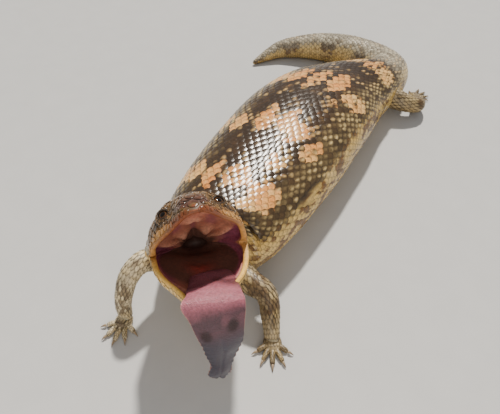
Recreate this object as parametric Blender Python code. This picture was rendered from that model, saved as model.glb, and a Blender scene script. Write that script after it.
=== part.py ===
"""A life-size blotched blue-tongued skink that gapes and shows its tongue.

Sizes are real millimetres, turned into metres when a mesh is made. +Z is up and the trunk lies
along Y with the head towards -Y. Left and right are the animal's own.
"""

import math

import bmesh
import bpy
import numpy as np

MM = 0.001
GAP = 0.3
FLOOR = 0.0

# Places are written about a point beside the belly. This moves the origin to the box's bottom centre.
ORIGIN = (2.5, -20.0, 0.0)

# The head: the hinge is the point between the corners of the mouth.
HINGE = (45.2, -142.1, 54.0)
HEAD_HEADING = 52.9
HEAD_LIFT = 40.4
HEAD_ROLL = -3.2
JAW_TWIST = 6.7
GAPE = 59.2
HEAD_BACK = -19.0
UPPER_LENGTH = 42.0
LOWER_LENGTH = 42.0
CORNER = 2.5
LIP = 2.6
THROAT = -16.0

# Distance in front of the hinge, then half width, height of the cranium and depth of the lower jaw.
HEAD = [
    (-19.0, 20.0, 16.5, 16.0),
    (-13.0, 22.3, 17.8, 15.2),
    (-6.0, 23.9, 18.8, 13.8),
    (0.0, 23.0, 19.0, 12.5),
    (7.0, 21.9, 18.6, 11.0),
    (14.0, 20.7, 17.6, 9.8),
    (21.0, 17.9, 17.2, 8.8),
    (28.0, 13.5, 15.2, 7.8),
    (34.0, 10.9, 13.2, 6.9),
    (38.0, 10.0, 11.8, 6.3),
    (42.0, 9.2, 10.6, 5.6),
]
# Distance in front of the hinge, then how far the palate is hollowed and the floor sunk.
MOUTH = [
    (-19.0, 8.0, 7.0),
    (-13.0, 8.5, 7.0),
    (-5.0, 9.0, 5.5),
    (5.0, 8.0, 4.5),
    (15.0, 6.5, 4.0),
    (25.0, 5.0, 3.2),
    (34.0, 3.2, 2.4),
    (42.0, 2.0, 1.6),
]

# Lines round the head, then steps along its outside, round its lips and down its mouth.
HEAD_GRID = (52, 14, 2, 8)
CROWDING = 0.2

EYE_RADIUS = 3.4
EYE_SINK = 2.7
EYE_TURN = 26.0
EYE_PLACE = (25.5, 31.5)
LID_THICKNESS = 0.8
LID_OPENING = (2.9, 2.0)
NOSTRIL_PLACE = (37.6, 46.0)
NOSTRIL_RADIUS = 0.8
EAR_PLACE = (-9.5, 21.0)
EAR_SIZE = (1.5, 2.4)
EAR_DEPTH = 1.6

# One row for each station from the nape to the tail's tip:
# x, y, z of the axis, half width, height above the axis and depth below it.
TRUNK = [
    (32.8, -127.0, 33.0, 23.0, 17.5, 18.5),
    (30.2, -118.5, 27.0, 28.5, 19.5, 21.5),
    (26.5, -103.0, 24.0, 34.5, 22.0, 23.5),
    (20.5, -70.0, 22.5, 40.5, 24.5, 24.0),
    (14.5, -30.0, 22.0, 43.5, 26.0, 24.0),
    (9.8, 3.0, 22.0, 44.0, 26.0, 24.0),
    (9.0, 33.0, 21.5, 41.5, 24.5, 23.0),
    (11.9, 58.7, 19.5, 35.5, 21.5, 21.0),
    (17.5, 82.0, 18.0, 27.5, 19.0, 19.5),
    (22.5, 104.0, 16.5, 19.5, 16.0, 17.5),
    (17.5, 119.5, 15.8, 17.0, 15.0, 16.5),
    (-1.0, 129.0, 14.5, 15.2, 14.5, 15.0),
    (-28.0, 132.5, 13.0, 13.7, 13.3, 13.5),
    (-54.0, 127.3, 11.0, 11.4, 11.0, 11.3),
    (-77.0, 112.5, 8.0, 8.2, 8.0, 8.2),
    (-85.0, 98.5, 5.4, 5.3, 5.2, 5.4),
    (-90.5, 82.0, 2.4, 1.6, 1.6, 2.0),
]
# Node, the first and last station of its length, counted from the nape, and its rings.
LENGTHS = [
    ("neck", 0.0, 2.2, 8),
    ("torso_front", 2.2, 4.2, 9),
    ("torso_middle", 4.2, 6.2, 8),
    ("torso_rear", 6.2, 9.4, 11),
    ("tail_base", 9.4, 12.0, 10),
    ("tail_middle", 12.0, 14.2, 8),
    ("tail_tip", 14.2, 17.0, 9),
]
TRUNK_SIDES = 32

# The tongue, in the upright plane of its heading: distance ahead of the hinge, height, shift to the
# left, half width and half thickness.
TONGUE_HEADING = 50.4
TONGUE_ROLL = -8.0
TONGUE = [
    (16.0, 54.4, 2.4, 8.8, 1.5),
    (19.5, 55.7, 2.9, 10.1, 2.4),
    (25.0, 58.3, 2.8, 10.6, 2.6),
    (30.2, 62.0, 2.0, 11.0, 2.5),
    (35.2, 66.2, 1.6, 11.0, 2.0),
    (39.8, 67.9, 1.4, 11.5, 1.8),
    (43.8, 64.8, 1.3, 11.1, 1.7),
    (46.3, 58.2, 1.4, 9.8, 1.9),
    (47.0, 50.1, 1.8, 8.5, 2.0),
    (46.5, 41.3, 1.5, 7.0, 1.9),
    (46.0, 32.8, 1.0, 5.1, 1.7),
    (45.6, 26.0, 0.3, 4.8, 1.5),
    (45.2, 20.5, -0.3, 4.6, 1.2),
    (45.0, 16.6, -0.6, 2.6, 0.8),
]
# The pointed corner on its right: the place counted in rows, how many rows it spreads over and its reach.
TONGUE_CORNER = (5.2, 0.6, 2.2)

# Each leg's stations from inside the body to the sole: x, y, z and the two half thicknesses.
LEGS = {
    "front_right": [
        (27.0, -126.0, 23.0, 7.5, 8.0),
        (18.8, -141.0, 26.5, 6.4, 6.8),
        (15.8, -153.0, 32.5, 5.5, 5.8),
        (15.0, -162.0, 29.5, 5.1, 5.3),
        (14.0, -166.5, 20.0, 4.6, 4.9),
        (13.2, -168.5, 10.5, 4.1, 4.3),
        (14.0, -169.5, 4.2, 3.8, 3.6),
    ],
    "front_left": [
        (46.0, -121.0, 20.0, 8.3, 8.3),
        (61.0, -123.0, 20.0, 6.6, 6.8),
        (69.0, -122.8, 18.8, 5.8, 6.0),
        (73.4, -124.4, 15.2, 5.4, 5.6),
        (77.0, -128.0, 10.6, 5.0, 5.2),
        (80.4, -131.6, 6.6, 4.3, 4.5),
        (82.4, -133.8, 4.2, 4.0, 3.6),
    ],
    "hind_left": [
        (24.0, 84.0, 17.0, 9.5, 9.5),
        (37.0, 86.5, 14.5, 8.6, 8.8),
        (49.5, 89.5, 12.0, 7.0, 7.2),
        (57.0, 95.5, 9.5, 5.7, 5.9),
        (55.5, 103.5, 7.5, 5.2, 5.4),
        (50.0, 109.5, 5.8, 4.3, 4.4),
        (47.5, 113.0, 4.2, 4.0, 3.6),
    ],
    "hind_right": [
        (9.0, 78.0, 17.0, 9.5, 9.5),
        (-5.0, 75.5, 14.5, 8.6, 8.8),
        (-17.0, 74.0, 12.0, 7.0, 7.2),
        (-25.0, 77.0, 9.5, 5.7, 5.9),
        (-26.5, 85.0, 7.5, 5.2, 5.4),
        (-26.0, 92.5, 5.8, 4.3, 4.4),
        (-26.5, 96.5, 4.2, 4.0, 3.6),
    ],
}
# Names of a leg's three lengths, the stations where each begins and ends, and its rings.
LEG_PARTS = {"front": ("upper_arm", "forearm", "hand"), "hind": ("thigh", "shank", "foot")}
LEG_LENGTHS = ((0.0, 3.0, 7), (3.0, 5.4, 6), (5.4, 7.0, 4))
LEG_SIDES = 12

# A foot: the toes' spread from the heading in degrees, with their lengths. The first is the inner toe.
TOES = {
    "front": ((-62, 5.5), (-30, 7.5), (-4, 8.5), (22, 8.0), (54, 5.5)),
    "hind": ((-48, 5.5), (-22, 8.0), (0, 10.0), (20, 11.0), (52, 6.5)),
}
FOOT_HEADING = {"front_right": -72.0, "front_left": -50.0, "hind_left": 78.0, "hind_right": 112.0}
PALM_LENGTH = 10.0
PALM_WIDTH = 9.5
PALM_HEIGHT = 4.6
TOE_RADIUS = 1.55
CLAW_LENGTH = 3.2
CLAW_RADIUS = 0.85


def at(rows, places):
    """The Catmull-Rom curve through the rows, at places counted in rows."""
    rows = np.asarray(rows, float)
    padded = np.vstack([2 * rows[0] - rows[1], rows, 2 * rows[-1] - rows[-2]])
    places = np.clip(np.asarray(places, float), 0, len(rows) - 1 - 1e-9)
    i = places.astype(int)
    u = (places - i)[..., None]
    p0, p1, p2, p3 = (padded[i + k] for k in range(4))
    return 0.5 * (
        2 * p1
        + (p2 - p0) * u
        + (2 * p0 - 5 * p1 + 4 * p2 - p3) * u**2
        + (3 * p1 - p0 - 3 * p2 + p3) * u**3
    )


def table(rows, t):
    """The rows' other columns at t, where their first column rises."""
    rows = np.asarray(rows, float)
    return at(rows[:, 1:], np.interp(t, rows[:, 0], np.arange(len(rows))))


def unit(v):
    return v / np.linalg.norm(v, axis=-1, keepdims=True)


def smooth(x):
    x = np.clip(x, 0, 1)
    return x * x * (3 - 2 * x)


def rounded(angle):
    """Cosine and sine of the angle, raised so that the section fills out its box a little."""
    c, s = np.cos(angle), np.sin(angle)
    return np.sign(c) * np.abs(c) ** 0.9, np.sign(s) * np.abs(s) ** 0.95


def head_frame():
    """The head's left, forward and up directions."""
    heading, lift, roll = np.radians([HEAD_HEADING, HEAD_LIFT, HEAD_ROLL])
    forward = np.array(
        [math.sin(heading) * math.cos(lift), -math.cos(heading) * math.cos(lift), math.sin(lift)]
    )
    left = unit(np.cross((0, 0, 1), forward))
    up = np.cross(forward, left)
    return (
        left * math.cos(roll) + up * math.sin(roll),
        forward,
        up * math.cos(roll) - left * math.sin(roll),
    )


def trunk_rows():
    """The trunk's stations, with the nape's own ring where the head ends."""
    nape = np.asarray(HINGE) + HEAD_BACK * head_frame()[1]
    return np.vstack([np.concatenate([nape, HEAD[0][1:]]), TRUNK])


def trunk_frames(places):
    """Axis points, left and up directions and the three radii at places counted in stations."""
    places = np.asarray(places, float)
    stations = trunk_rows()
    rows = at(stations, places)
    step = 0.02
    forward = unit(at(stations, places - step)[:, :3] - at(stations, places + step)[:, :3])
    left = unit(np.cross((0.0, 0.0, 1.0), forward))
    up = np.cross(forward, left)
    head_left, _, head_up = head_frame()
    share = smooth(1 - places / 2.5)[:, None]
    left = unit(left * (1 - share) + head_left * share)
    up = unit(up * (1 - share) + head_up * share)
    return rows[:, :3], left, up, rows[:, 3:]


def trunk_points(places, angles, grow=0.0):
    """The trunk's and tail's skin, one ring for each place, with the belly pressed flat on the floor."""
    axis, left, up, radii = trunk_frames(places)
    c, s = rounded(np.asarray(angles))
    x = np.outer(radii[:, 0] + grow, c)
    z = np.outer(radii[:, 1] + grow, np.maximum(s, 0)) + np.outer(radii[:, 2] + grow, np.minimum(s, 0))
    points = axis[:, None] + left[:, None] * x[..., None] + up[:, None] * z[..., None]
    points[..., 2] = np.maximum(points[..., 2], FLOOR - grow)
    return points


def jaw_sizes(t, upper, inset=0.0):
    """Half width and height (or depth) of the closed head at t, shrunk by inset, shut at the tip."""
    width, height, depth = np.moveaxis(table(HEAD, t), -1, 0)
    length = (UPPER_LENGTH if upper else LOWER_LENGTH) - inset
    close = np.sqrt(np.clip(1 - np.clip(t / length, 0, 1) ** 6, 0, 1))
    return (width - inset) * close, (height if upper else depth) * close


def opened(x, t, n, angle):
    """A point of the closed head (x left, t forward, n up) once the mouth is open."""
    side = np.sign(np.sin(angle)) * np.minimum(np.abs(np.sin(angle)) / 0.4, 1) ** 0.8
    share = side * smooth((t - HEAD_BACK) / (10 - HEAD_BACK))
    turn = np.radians(GAPE / 2) * share
    twist = np.radians(JAW_TWIST) * share
    y = t * np.cos(turn) - n * np.sin(turn)
    z = t * np.sin(turn) + n * np.cos(turn)
    x, z = x * np.cos(twist) - z * np.sin(twist), x * np.sin(twist) + z * np.cos(twist)
    left, forward, up = head_frame()
    return np.asarray(HINGE) + x[..., None] * left + y[..., None] * forward + z[..., None] * up


def head_column(angle, outer_steps, rim_steps, inner_steps):
    """One line of the head's skin, from the nape over the lip and down the mouth to the throat."""
    upper = math.sin(angle) >= 0
    sign = 1.0 if upper else -1.0
    side = 1.0 if math.cos(angle) >= 0 else -1.0
    length = UPPER_LENGTH if upper else LOWER_LENGTH
    folded = math.asin(min(abs(math.sin(angle)), 1.0))
    steep = 2 + 12 * abs(math.sin(angle)) ** 6
    reach = (folded / (math.pi / 2)) ** 0.85

    v = 1 - (1 - np.linspace(0, 1, outer_steps)) ** 1.6
    rim = CORNER + (length - CORNER) * reach
    t = HEAD_BACK + (rim - HEAD_BACK) * v
    width, height = jaw_sizes(t, upper)
    c, s = rounded(folded * (1 - v**steep))
    outer = np.stack([width * c * side, t, height * s * sign], -1)

    w = np.linspace(0, 1, inner_steps) ** 1.3
    start = CORNER - LIP * 0.3
    inner_rim = start + (length - LIP - start) * reach
    t = inner_rim + (THROAT - inner_rim) * w
    width = np.maximum(jaw_sizes(t, upper, LIP)[0], 0) * (0.3 + 0.7 * smooth((t - THROAT) / 24))
    vault = table(MOUTH, t)[:, 0 if upper else 1] * (0.35 + 0.65 * smooth((t - THROAT) / 9))
    c, s = rounded(folded * (1 - (1 - w) ** steep))
    inner = np.stack([width * c * side, t, vault * s * sign], -1)

    roll = np.linspace(0, math.pi, rim_steps + 2)[1:-1, None]
    middle, half = (outer[-1] + inner[0]) / 2, (outer[-1] - inner[0]) / 2
    down = np.array([0, 0, -sign * LIP / 2 * min(abs(math.sin(angle)) / 0.5, 1) ** 1.5])
    lip = middle + half * np.cos(roll) + down * np.sin(roll)
    line = np.vstack([outer, lip, inner])
    return opened(line[:, 0], line[:, 1], line[:, 2], np.full(len(line), angle))


def head_rings(columns, outer_steps, rim_steps, inner_steps):
    """The head's skin as rings, from the nape over the lips to the throat. Lines crowd at the snout."""
    angles = (np.arange(columns) + 0.5) * 2 * math.pi / columns
    angles += CROWDING * np.sin(2 * angles)
    lines = [head_column(a, outer_steps, rim_steps, inner_steps) for a in angles]
    return np.array(lines).transpose(1, 0, 2)


def on_head(place, side):
    """A point of the upper head's skin at (distance, angle in degrees), with its outward, forward and
    upward directions."""

    def point(t, degrees):
        t = np.array([t])
        width, height = jaw_sizes(t, True)
        c, s = rounded(np.radians([degrees]))
        return opened(width * c * side, t, height * s, np.array([math.pi / 2]))[0]

    t, degrees = place
    forward = unit(point(t + 0.5, degrees) - point(t - 0.5, degrees))
    upward = point(t, degrees + 2) - point(t, degrees - 2)
    upward = unit(upward - forward * (upward @ forward))
    return point(t, degrees), np.cross(forward, upward) * -side, forward, upward


def eye_frame(side):
    """The eye's middle, and the outward, forward and upward directions of its lids, which look ahead."""
    point, out, forward, up = on_head(EYE_PLACE, side)
    turn = math.radians(EYE_TURN)
    look = out * math.cos(turn) + forward * math.sin(turn)
    return point - out * EYE_SINK, look, forward * math.cos(turn) - out * math.sin(turn), up


def path_frames(points, side):
    """Directions across and over a path, with the first kept as near the given side as it can be."""
    ahead = unit(np.gradient(points, axis=0))
    across = unit(np.asarray(side) - ahead * (ahead @ np.asarray(side))[:, None])
    return ahead, across, np.cross(ahead, across)


def leg_points(name, places, sides, grow=0.0):
    """A leg's skin, one ring for each place counted in stations from inside the body to the palm."""
    middle = foot_frame(name)[0]
    stations = np.vstack([LEGS[name], [*middle[:2], PALM_HEIGHT * 0.45, 3.2, 1.9]])
    rows = at(stations, places)
    step = 0.05
    ahead = unit(at(stations, places + step)[:, :3] - at(stations, places - step)[:, :3])
    side = np.array((0.3, 0.2, 1.0) if "hind" in name else (1.0, 0.3, 0.1))
    across = unit(side - ahead * (ahead @ side)[:, None])
    over = np.cross(ahead, across)
    angles = np.arange(sides) * 2 * math.pi / sides
    x = np.outer(rows[:, 3] + grow, np.cos(angles))
    z = np.outer(rows[:, 4] + grow, np.sin(angles))
    points = rows[:, None, :3] + across[:, None] * x[..., None] + over[:, None] * z[..., None]
    points[0] -= ahead[0] * grow
    points[-1] += ahead[-1] * grow
    points[..., 2] = np.maximum(points[..., 2], FLOOR - grow)
    return points


def foot_frame(name):
    """The sole's middle and its heading."""
    heading = math.radians(FOOT_HEADING[name])
    ahead = np.array([math.cos(heading), math.sin(heading), 0.0])
    ankle = np.array(LEGS[name][-1][:3])
    middle = ankle + ahead * PALM_LENGTH * 0.25
    middle[2] = 0
    return middle, ahead, np.cross((0, 0, 1), ahead)


def palm_points(name, rings, sides):
    """The palm: a low dome that stands on the floor."""
    middle, ahead, across = foot_frame(name)
    tilt = np.linspace(-math.pi / 2, math.pi / 2, rings + 2)[1:-1]
    angles = np.arange(sides) * 2 * math.pi / sides
    x = np.sin(tilt)[:, None] * np.ones(sides) * PALM_LENGTH / 2
    y = np.outer(np.cos(tilt) ** 0.8, np.cos(angles)) * PALM_WIDTH / 2
    z = np.outer(np.cos(tilt) ** 0.7, np.sin(angles)) * PALM_HEIGHT / 2 + PALM_HEIGHT * 0.4
    points = middle + ahead * x[..., None] + across * y[..., None] + np.array((0, 0, 1)) * z[..., None]
    points[..., 2] = np.maximum(points[..., 2], FLOOR)
    return points


def toe_line(name, index, inner_side):
    """A toe's root, direction and length."""
    middle, ahead, across = foot_frame(name)
    kind = name.split("_")[0]
    spread, length = TOES[kind][index]
    spread = math.radians(spread) * inner_side
    direction = ahead * math.cos(spread) + across * math.sin(spread)
    root = middle + direction * PALM_WIDTH * 0.36 - ahead * 0.4
    return root, direction, length


def toe_points(name, index, inner_side, rings, sides):
    """A toe: a tapering tube that arches a little and lies on the floor."""
    root, direction, length = toe_line(name, index, inner_side)
    along = np.linspace(-2.2, length, rings)
    share = np.clip(along / length, 0, 1)
    radius = TOE_RADIUS * (1 - 0.25 * share)
    radius[-1] *= 0.6
    height = radius * 0.86 + 0.5 * np.sin(math.pi * share)
    angles = np.arange(sides) * 2 * math.pi / sides
    across = np.cross((0, 0, 1), direction)
    x = np.outer(radius, np.cos(angles))
    z = np.outer(radius, np.sin(angles)) + height[:, None]
    points = root + direction * along[:, None, None] + across * x[..., None]
    points[..., 2] += z
    points[..., 2] = np.maximum(points[..., 2], FLOOR)
    return points


def claw_points(name, index, inner_side, rings, sides):
    """A claw: a curved cone that starts a gap past its toe and turns down towards the floor."""
    root, direction, length = toe_line(name, index, inner_side)
    base = root + direction * (length + GAP)
    share = np.linspace(0, 1, rings)
    radius = CLAW_RADIUS * (1 - share) ** 0.8 + 0.08
    height = CLAW_RADIUS + 0.35 + 0.35 * np.sin(math.pi * 0.9 * share) - 0.75 * share**2
    angles = np.arange(sides) * 2 * math.pi / sides
    across = np.cross((0, 0, 1), direction)
    points = base + direction * (share * CLAW_LENGTH)[:, None, None] * np.ones((1, sides, 1))
    points = points + across * np.outer(radius * 0.8, np.cos(angles))[..., None]
    points[..., 2] += np.outer(radius, np.sin(angles)) + height[:, None]
    points[..., 2] = np.maximum(points[..., 2], FLOOR)
    return points


def tongue_points(rings, sides, grow=0.0):
    """The tongue: flat, with thin edges and a thicker middle."""
    places = np.linspace(0, len(TONGUE) - 1, rings)
    rows = at(TONGUE, places)
    heading, roll = np.radians([TONGUE_HEADING, TONGUE_ROLL])
    ahead = np.array([math.sin(heading), -math.cos(heading), 0.0])
    level = np.array([math.cos(heading), math.sin(heading), 0.0])
    across = level * math.cos(roll) + np.array([0, 0, math.sin(roll)])
    path = np.array([HINGE[0], HINGE[1], 0.0]) + ahead * rows[:, :1] + level * rows[:, 2:3]
    path[:, 2] = rows[:, 1]
    _, across, over = path_frames(path, across)
    angles = np.arange(sides) * 2 * math.pi / sides
    c, s = np.cos(angles), np.sin(angles)
    x = np.outer(rows[:, 3] + grow, c)
    place, spread, reach = TONGUE_CORNER
    x -= np.outer(reach * np.exp(-(((places - place) / spread) ** 2)), np.maximum(-c, 0))
    z = np.outer(rows[:, 4] + grow, s * (0.35 + 0.65 * np.sqrt(np.abs(s))))
    return path[:, None] + across[:, None] * x[..., None] + over[:, None] * z[..., None]


def loft(rings):
    """Corners and faces of the closed solid between the rings, each end closed by a fan."""
    count, sides = rings.shape[:2]
    points = np.vstack([rings.reshape(-1, 3), rings[0].mean(0), rings[-1].mean(0)])
    faces = []
    for i in range(count - 1):
        for j in range(sides):
            a, b = i * sides + j, i * sides + (j + 1) % sides
            faces.append((a, b, b + sides, a + sides))
    last = (count - 1) * sides
    for j in range(sides):
        faces.append(((j + 1) % sides, j, count * sides))
        faces.append((last + j, last + (j + 1) % sides, count * sides + 1))
    return points, faces


def add_mesh(name, points, faces):
    """An object in the scene, in metres, with its faces pointing out."""
    mesh = bpy.data.meshes.new(name)
    moved = (np.asarray(points) - np.asarray(ORIGIN)) * MM
    mesh.from_pydata(moved.tolist(), [], faces)
    work = bmesh.new()
    work.from_mesh(mesh)
    bmesh.ops.remove_doubles(work, verts=work.verts, dist=1e-7)
    bmesh.ops.recalc_face_normals(work, faces=work.faces)
    if work.calc_volume(signed=True) < 0:
        bmesh.ops.reverse_faces(work, faces=work.faces)
    work.to_mesh(mesh)
    work.free()
    obj = bpy.data.objects.new(name, mesh)
    bpy.context.scene.collection.objects.link(obj)
    return obj


def add_loft(name, rings):
    return add_mesh(name, *loft(rings))


def add_ellipsoid(name, centre, axes, radii, segments=16):
    """A sphere with its own axes and radii."""
    work = bmesh.new()
    bmesh.ops.create_uvsphere(work, u_segments=segments, v_segments=segments * 2 // 3, radius=1.0)
    points = np.array([v.co[:] for v in work.verts])
    faces = [[v.index for v in f.verts] for f in work.faces]
    work.free()
    matrix = np.array(axes) * np.array(radii)[:, None]
    return add_mesh(name, points @ matrix + np.asarray(centre), faces)


def combine(target, operation, tools, solver="EXACT"):
    """Joins the tools to the target, or cuts them from it, and removes them."""
    group = bpy.data.collections.new("tools")
    bpy.context.scene.collection.children.link(group)
    for tool in tools:
        bpy.context.scene.collection.objects.unlink(tool)
        group.objects.link(tool)
    modifier = target.modifiers.new("combine", "BOOLEAN")
    modifier.operation = operation
    modifier.operand_type = "COLLECTION"
    modifier.collection = group
    modifier.solver = solver
    graph = bpy.context.evaluated_depsgraph_get()
    result = bpy.data.meshes.new_from_object(target.evaluated_get(graph))
    target.modifiers.clear()
    target.data = result
    for tool in tools:
        bpy.data.objects.remove(tool)
    bpy.data.collections.remove(group)
    return target


def pieces_of(obj):
    """The object's separate closed surfaces, largest first, as corners and faces in the part's units."""
    work = bmesh.new()
    work.from_mesh(obj.data)
    bmesh.ops.remove_doubles(work, verts=work.verts, dist=1e-7)
    left = set(work.faces)
    found = []
    while left:
        group, front = [], [left.pop()]
        while front:
            face = front.pop()
            group.append(face)
            for edge in face.edges:
                for other in edge.link_faces:
                    if other in left:
                        left.discard(other)
                        front.append(other)
        order = sorted({v for f in group for v in f.verts}, key=lambda v: v.index)
        index = {v: k for k, v in enumerate(order)}
        group.sort(key=lambda f: f.index)
        points = np.array([v.co[:] for v in order]) / MM + np.asarray(ORIGIN)
        found.append((points, [[index[v] for v in f.verts] for f in group]))
    work.free()
    return sorted(found, key=lambda piece: -volume_of(*piece))


def volume_of(points, faces):
    total = 0.0
    for face in faces:
        for b, c in zip(face[1:-1], face[2:]):
            total += np.dot(points[face[0]], np.cross(points[b], points[c])) / 6
    return abs(total)


def largest(obj):
    """The object with only its largest closed surface left."""
    points, faces = pieces_of(obj)[0]
    name = obj.name
    bpy.data.objects.remove(obj)
    return add_mesh(name, points, faces)


def paint(obj, colour, roughness):
    """Gives an object its own material and smooth shading."""
    material = bpy.data.materials.new(obj.name)
    material.use_nodes = True
    shader = material.node_tree.nodes["Principled BSDF"]
    shader.inputs["Base Color"].default_value = (*colour, 1)
    shader.inputs["Roughness"].default_value = roughness
    shader.inputs["Metallic"].default_value = 0.0
    obj.data.materials.clear()
    obj.data.materials.append(material)
    obj.data.shade_smooth()
    obj.data.set_sharp_from_angle(angle=math.radians(50))
    return obj


SKIN = (0.12, 0.09, 0.06)
FLANK = (0.3, 0.22, 0.12)
LEG = (0.27, 0.25, 0.19)
HORN = (0.45, 0.36, 0.24)
TONGUE_BLUE = (0.2, 0.19, 0.34)
EYE_BROWN = (0.02, 0.012, 0.008)


def build_trunk():
    """Neck, torso and tail, one loft cut into lengths with a gap between them."""
    angles = np.arange(TRUNK_SIDES) * 2 * math.pi / TRUNK_SIDES
    made = []
    for name, first, last, rings in LENGTHS:
        points = trunk_points(np.linspace(first, last, rings), angles)
        for ring, towards in ((0, 1), (-1, -2)):
            first_step, quarter = points[ring, (1, TRUNK_SIDES // 4)] - points[ring, 0]
            normal = np.cross(first_step, quarter)
            normal = unit(normal) * np.sign(normal @ (points[towards].mean(0) - points[ring].mean(0)))
            if last < len(TRUNK) or ring == 0:
                points[ring] += normal * GAP / 2
        points[..., 2] = np.maximum(points[..., 2], FLOOR)
        made.append(paint(add_loft(name, points), FLANK if "tail" in name else SKIN, 0.4))
    return made


def grown_trunk(name):
    """The neck and torso, larger by the gap all over, which legs are cut by."""
    angles = np.arange(TRUNK_SIDES) * 2 * math.pi / TRUNK_SIDES
    rows = [np.linspace(first, last, rings)[:-1] for _, first, last, rings in LENGTHS[:5]]
    return add_loft(name, trunk_points(np.concatenate(rows), angles, GAP * 1.5))


def build_leg(name):
    """One leg in three lengths, each cut clear of the one before it and of the body, and its claws."""
    kind, side = name.split("_")
    inner_side = 1 if side == "left" else -1
    made = []
    cutters = [grown_trunk("cut_by_body")]
    for label, (first, last, rings) in zip(LEG_PARTS[kind], LEG_LENGTHS):
        places = np.linspace(first, last, rings)
        piece = add_loft(f"{label}_{side}", leg_points(name, places, LEG_SIDES))
        if last == LEG_LENGTHS[-1][1]:
            forms = [add_loft("palm", palm_points(name, 5, 12))]
            for index in range(len(TOES[kind])):
                forms.append(add_loft("toe", toe_points(name, index, inner_side, 4, 8)))
            piece = largest(combine(piece, "UNION", forms, "MANIFOLD"))
        piece = largest(combine(piece, "DIFFERENCE", cutters, "MANIFOLD"))
        made.append(paint(piece, LEG, 0.5))
        cutters = [grown_trunk("cut_by_body")]
        cutters.append(add_loft("cut_by_leg", leg_points(name, places, LEG_SIDES, GAP)))
    for cutter in cutters:
        bpy.data.objects.remove(cutter)
    for index in range(len(TOES[kind])):
        claw = add_loft(f"claw_{kind}_{side}_{index + 1}", claw_points(name, index, inner_side, 3, 6))
        made.append(paint(claw, HORN, 0.35))
    return made


def head_cutters():
    """What is joined to the head for its lids, and what is cut from it."""
    lids, cuts, eyes = [], [], []
    for side, word in ((1, "left"), (-1, "right")):
        centre, out, forward, up = eye_frame(side)
        lid = EYE_RADIUS + LID_THICKNESS
        lids.append(add_ellipsoid("lid", centre, (forward, up, out), (lid * 1.12, lid, lid)))
        orbit = EYE_RADIUS + GAP
        cuts.append(add_ellipsoid("orbit", centre, (forward, up, out), (orbit, orbit, orbit), 18))
        open_radii = (LID_OPENING[0], LID_OPENING[1], 4.0)
        cuts.append(
            add_ellipsoid("slit", centre + out * (EYE_RADIUS + 1.2), (forward, up, out), open_radii)
        )
        eyes.append(add_ellipsoid(f"eye_{word}", centre, (forward, up, out), (EYE_RADIUS,) * 3, 16))
        point, out, forward, up = on_head(NOSTRIL_PLACE, side)
        radii = (NOSTRIL_RADIUS * 1.3, NOSTRIL_RADIUS, 1.4)
        cuts.append(add_ellipsoid("nostril", point, (forward, up, out), radii, 10))
        point, out, forward, up = on_head(EAR_PLACE, side)
        cuts.append(add_ellipsoid("ear", point, (forward, up, out), (*EAR_SIZE, EAR_DEPTH), 12))
    return lids, cuts, eyes


def half_space(name, sign):
    """A box on one side of the plane that parts the head from the lower jaw."""
    left, forward, up = head_frame()
    reach = 90.0
    ring = [left * a * reach + forward * b * reach for a, b in ((1, 1), (-1, 1), (-1, -1), (1, -1))]
    near = np.asarray(HINGE) - up * sign * GAP / 2 + np.array(ring)
    return add_loft(name, np.array([near, near + up * sign * reach]))


def build_head():
    """The head, the lower jaw, the eyes and the tongue."""
    rings = head_rings(*HEAD_GRID)
    _, forward, _ = head_frame()
    rings[0] += forward * GAP / 2
    head = add_loft("head", rings)
    lids, cuts, eyes = head_cutters()
    head = combine(head, "UNION", lids, "MANIFOLD")
    head = combine(head, "DIFFERENCE", cuts, "MANIFOLD")
    head = largest(head)
    jaw = add_mesh("lower_jaw", *pieces_of(head)[0])
    head = largest(combine(head, "DIFFERENCE", [half_space("below", -1)], "MANIFOLD"))
    jaw = largest(combine(jaw, "DIFFERENCE", [half_space("above", 1)], "MANIFOLD"))
    return [paint(head, SKIN, 0.4), paint(jaw, FLANK, 0.4), *(paint(e, EYE_BROWN, 0.1) for e in eyes)]


def grown_mouth(name):
    """The head's skin moved out by the gap, which the tongue is cut by."""
    points, faces = loft(head_rings(*HEAD_GRID))
    obj = add_mesh(name, points, faces)
    normals = np.array([v.normal[:] for v in obj.data.vertices])
    for vert, normal in zip(obj.data.vertices, normals):
        vert.co = [c + n * GAP * 1.2 * MM for c, n in zip(vert.co, normal)]
    return obj


def build_tongue():
    tongue = add_loft("tongue", tongue_points(30, 20))
    tongue = largest(combine(tongue, "DIFFERENCE", [grown_mouth("mouth")], "MANIFOLD"))
    return [paint(tongue, TONGUE_BLUE, 0.35)]


def main():
    for obj in list(bpy.data.objects):
        bpy.data.objects.remove(obj)
    made = build_trunk() + build_head() + build_tongue()
    for name in LEGS:
        made += build_leg(name)
    group = bpy.data.collections.new("blue_tongued_skink")
    bpy.context.scene.collection.children.link(group)
    for obj in made:
        for other in list(obj.users_collection):
            other.objects.unlink(obj)
        group.objects.link(obj)


if __name__ == "__main__":
    main()
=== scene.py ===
"""Looks of a blotched blue-tongued skink that gapes and hangs out its tongue.

The forms repeat the part's own named sizes in millimetres, at a finer step: one skin over all the
flesh, then the coat of scales, the shields of the head, the tongue, the eyes and the claws.
"""

import math

import bmesh
import bpy
import numpy as np
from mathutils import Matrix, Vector
from mathutils.bvhtree import BVHTree
from mathutils.kdtree import KDTree


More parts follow.
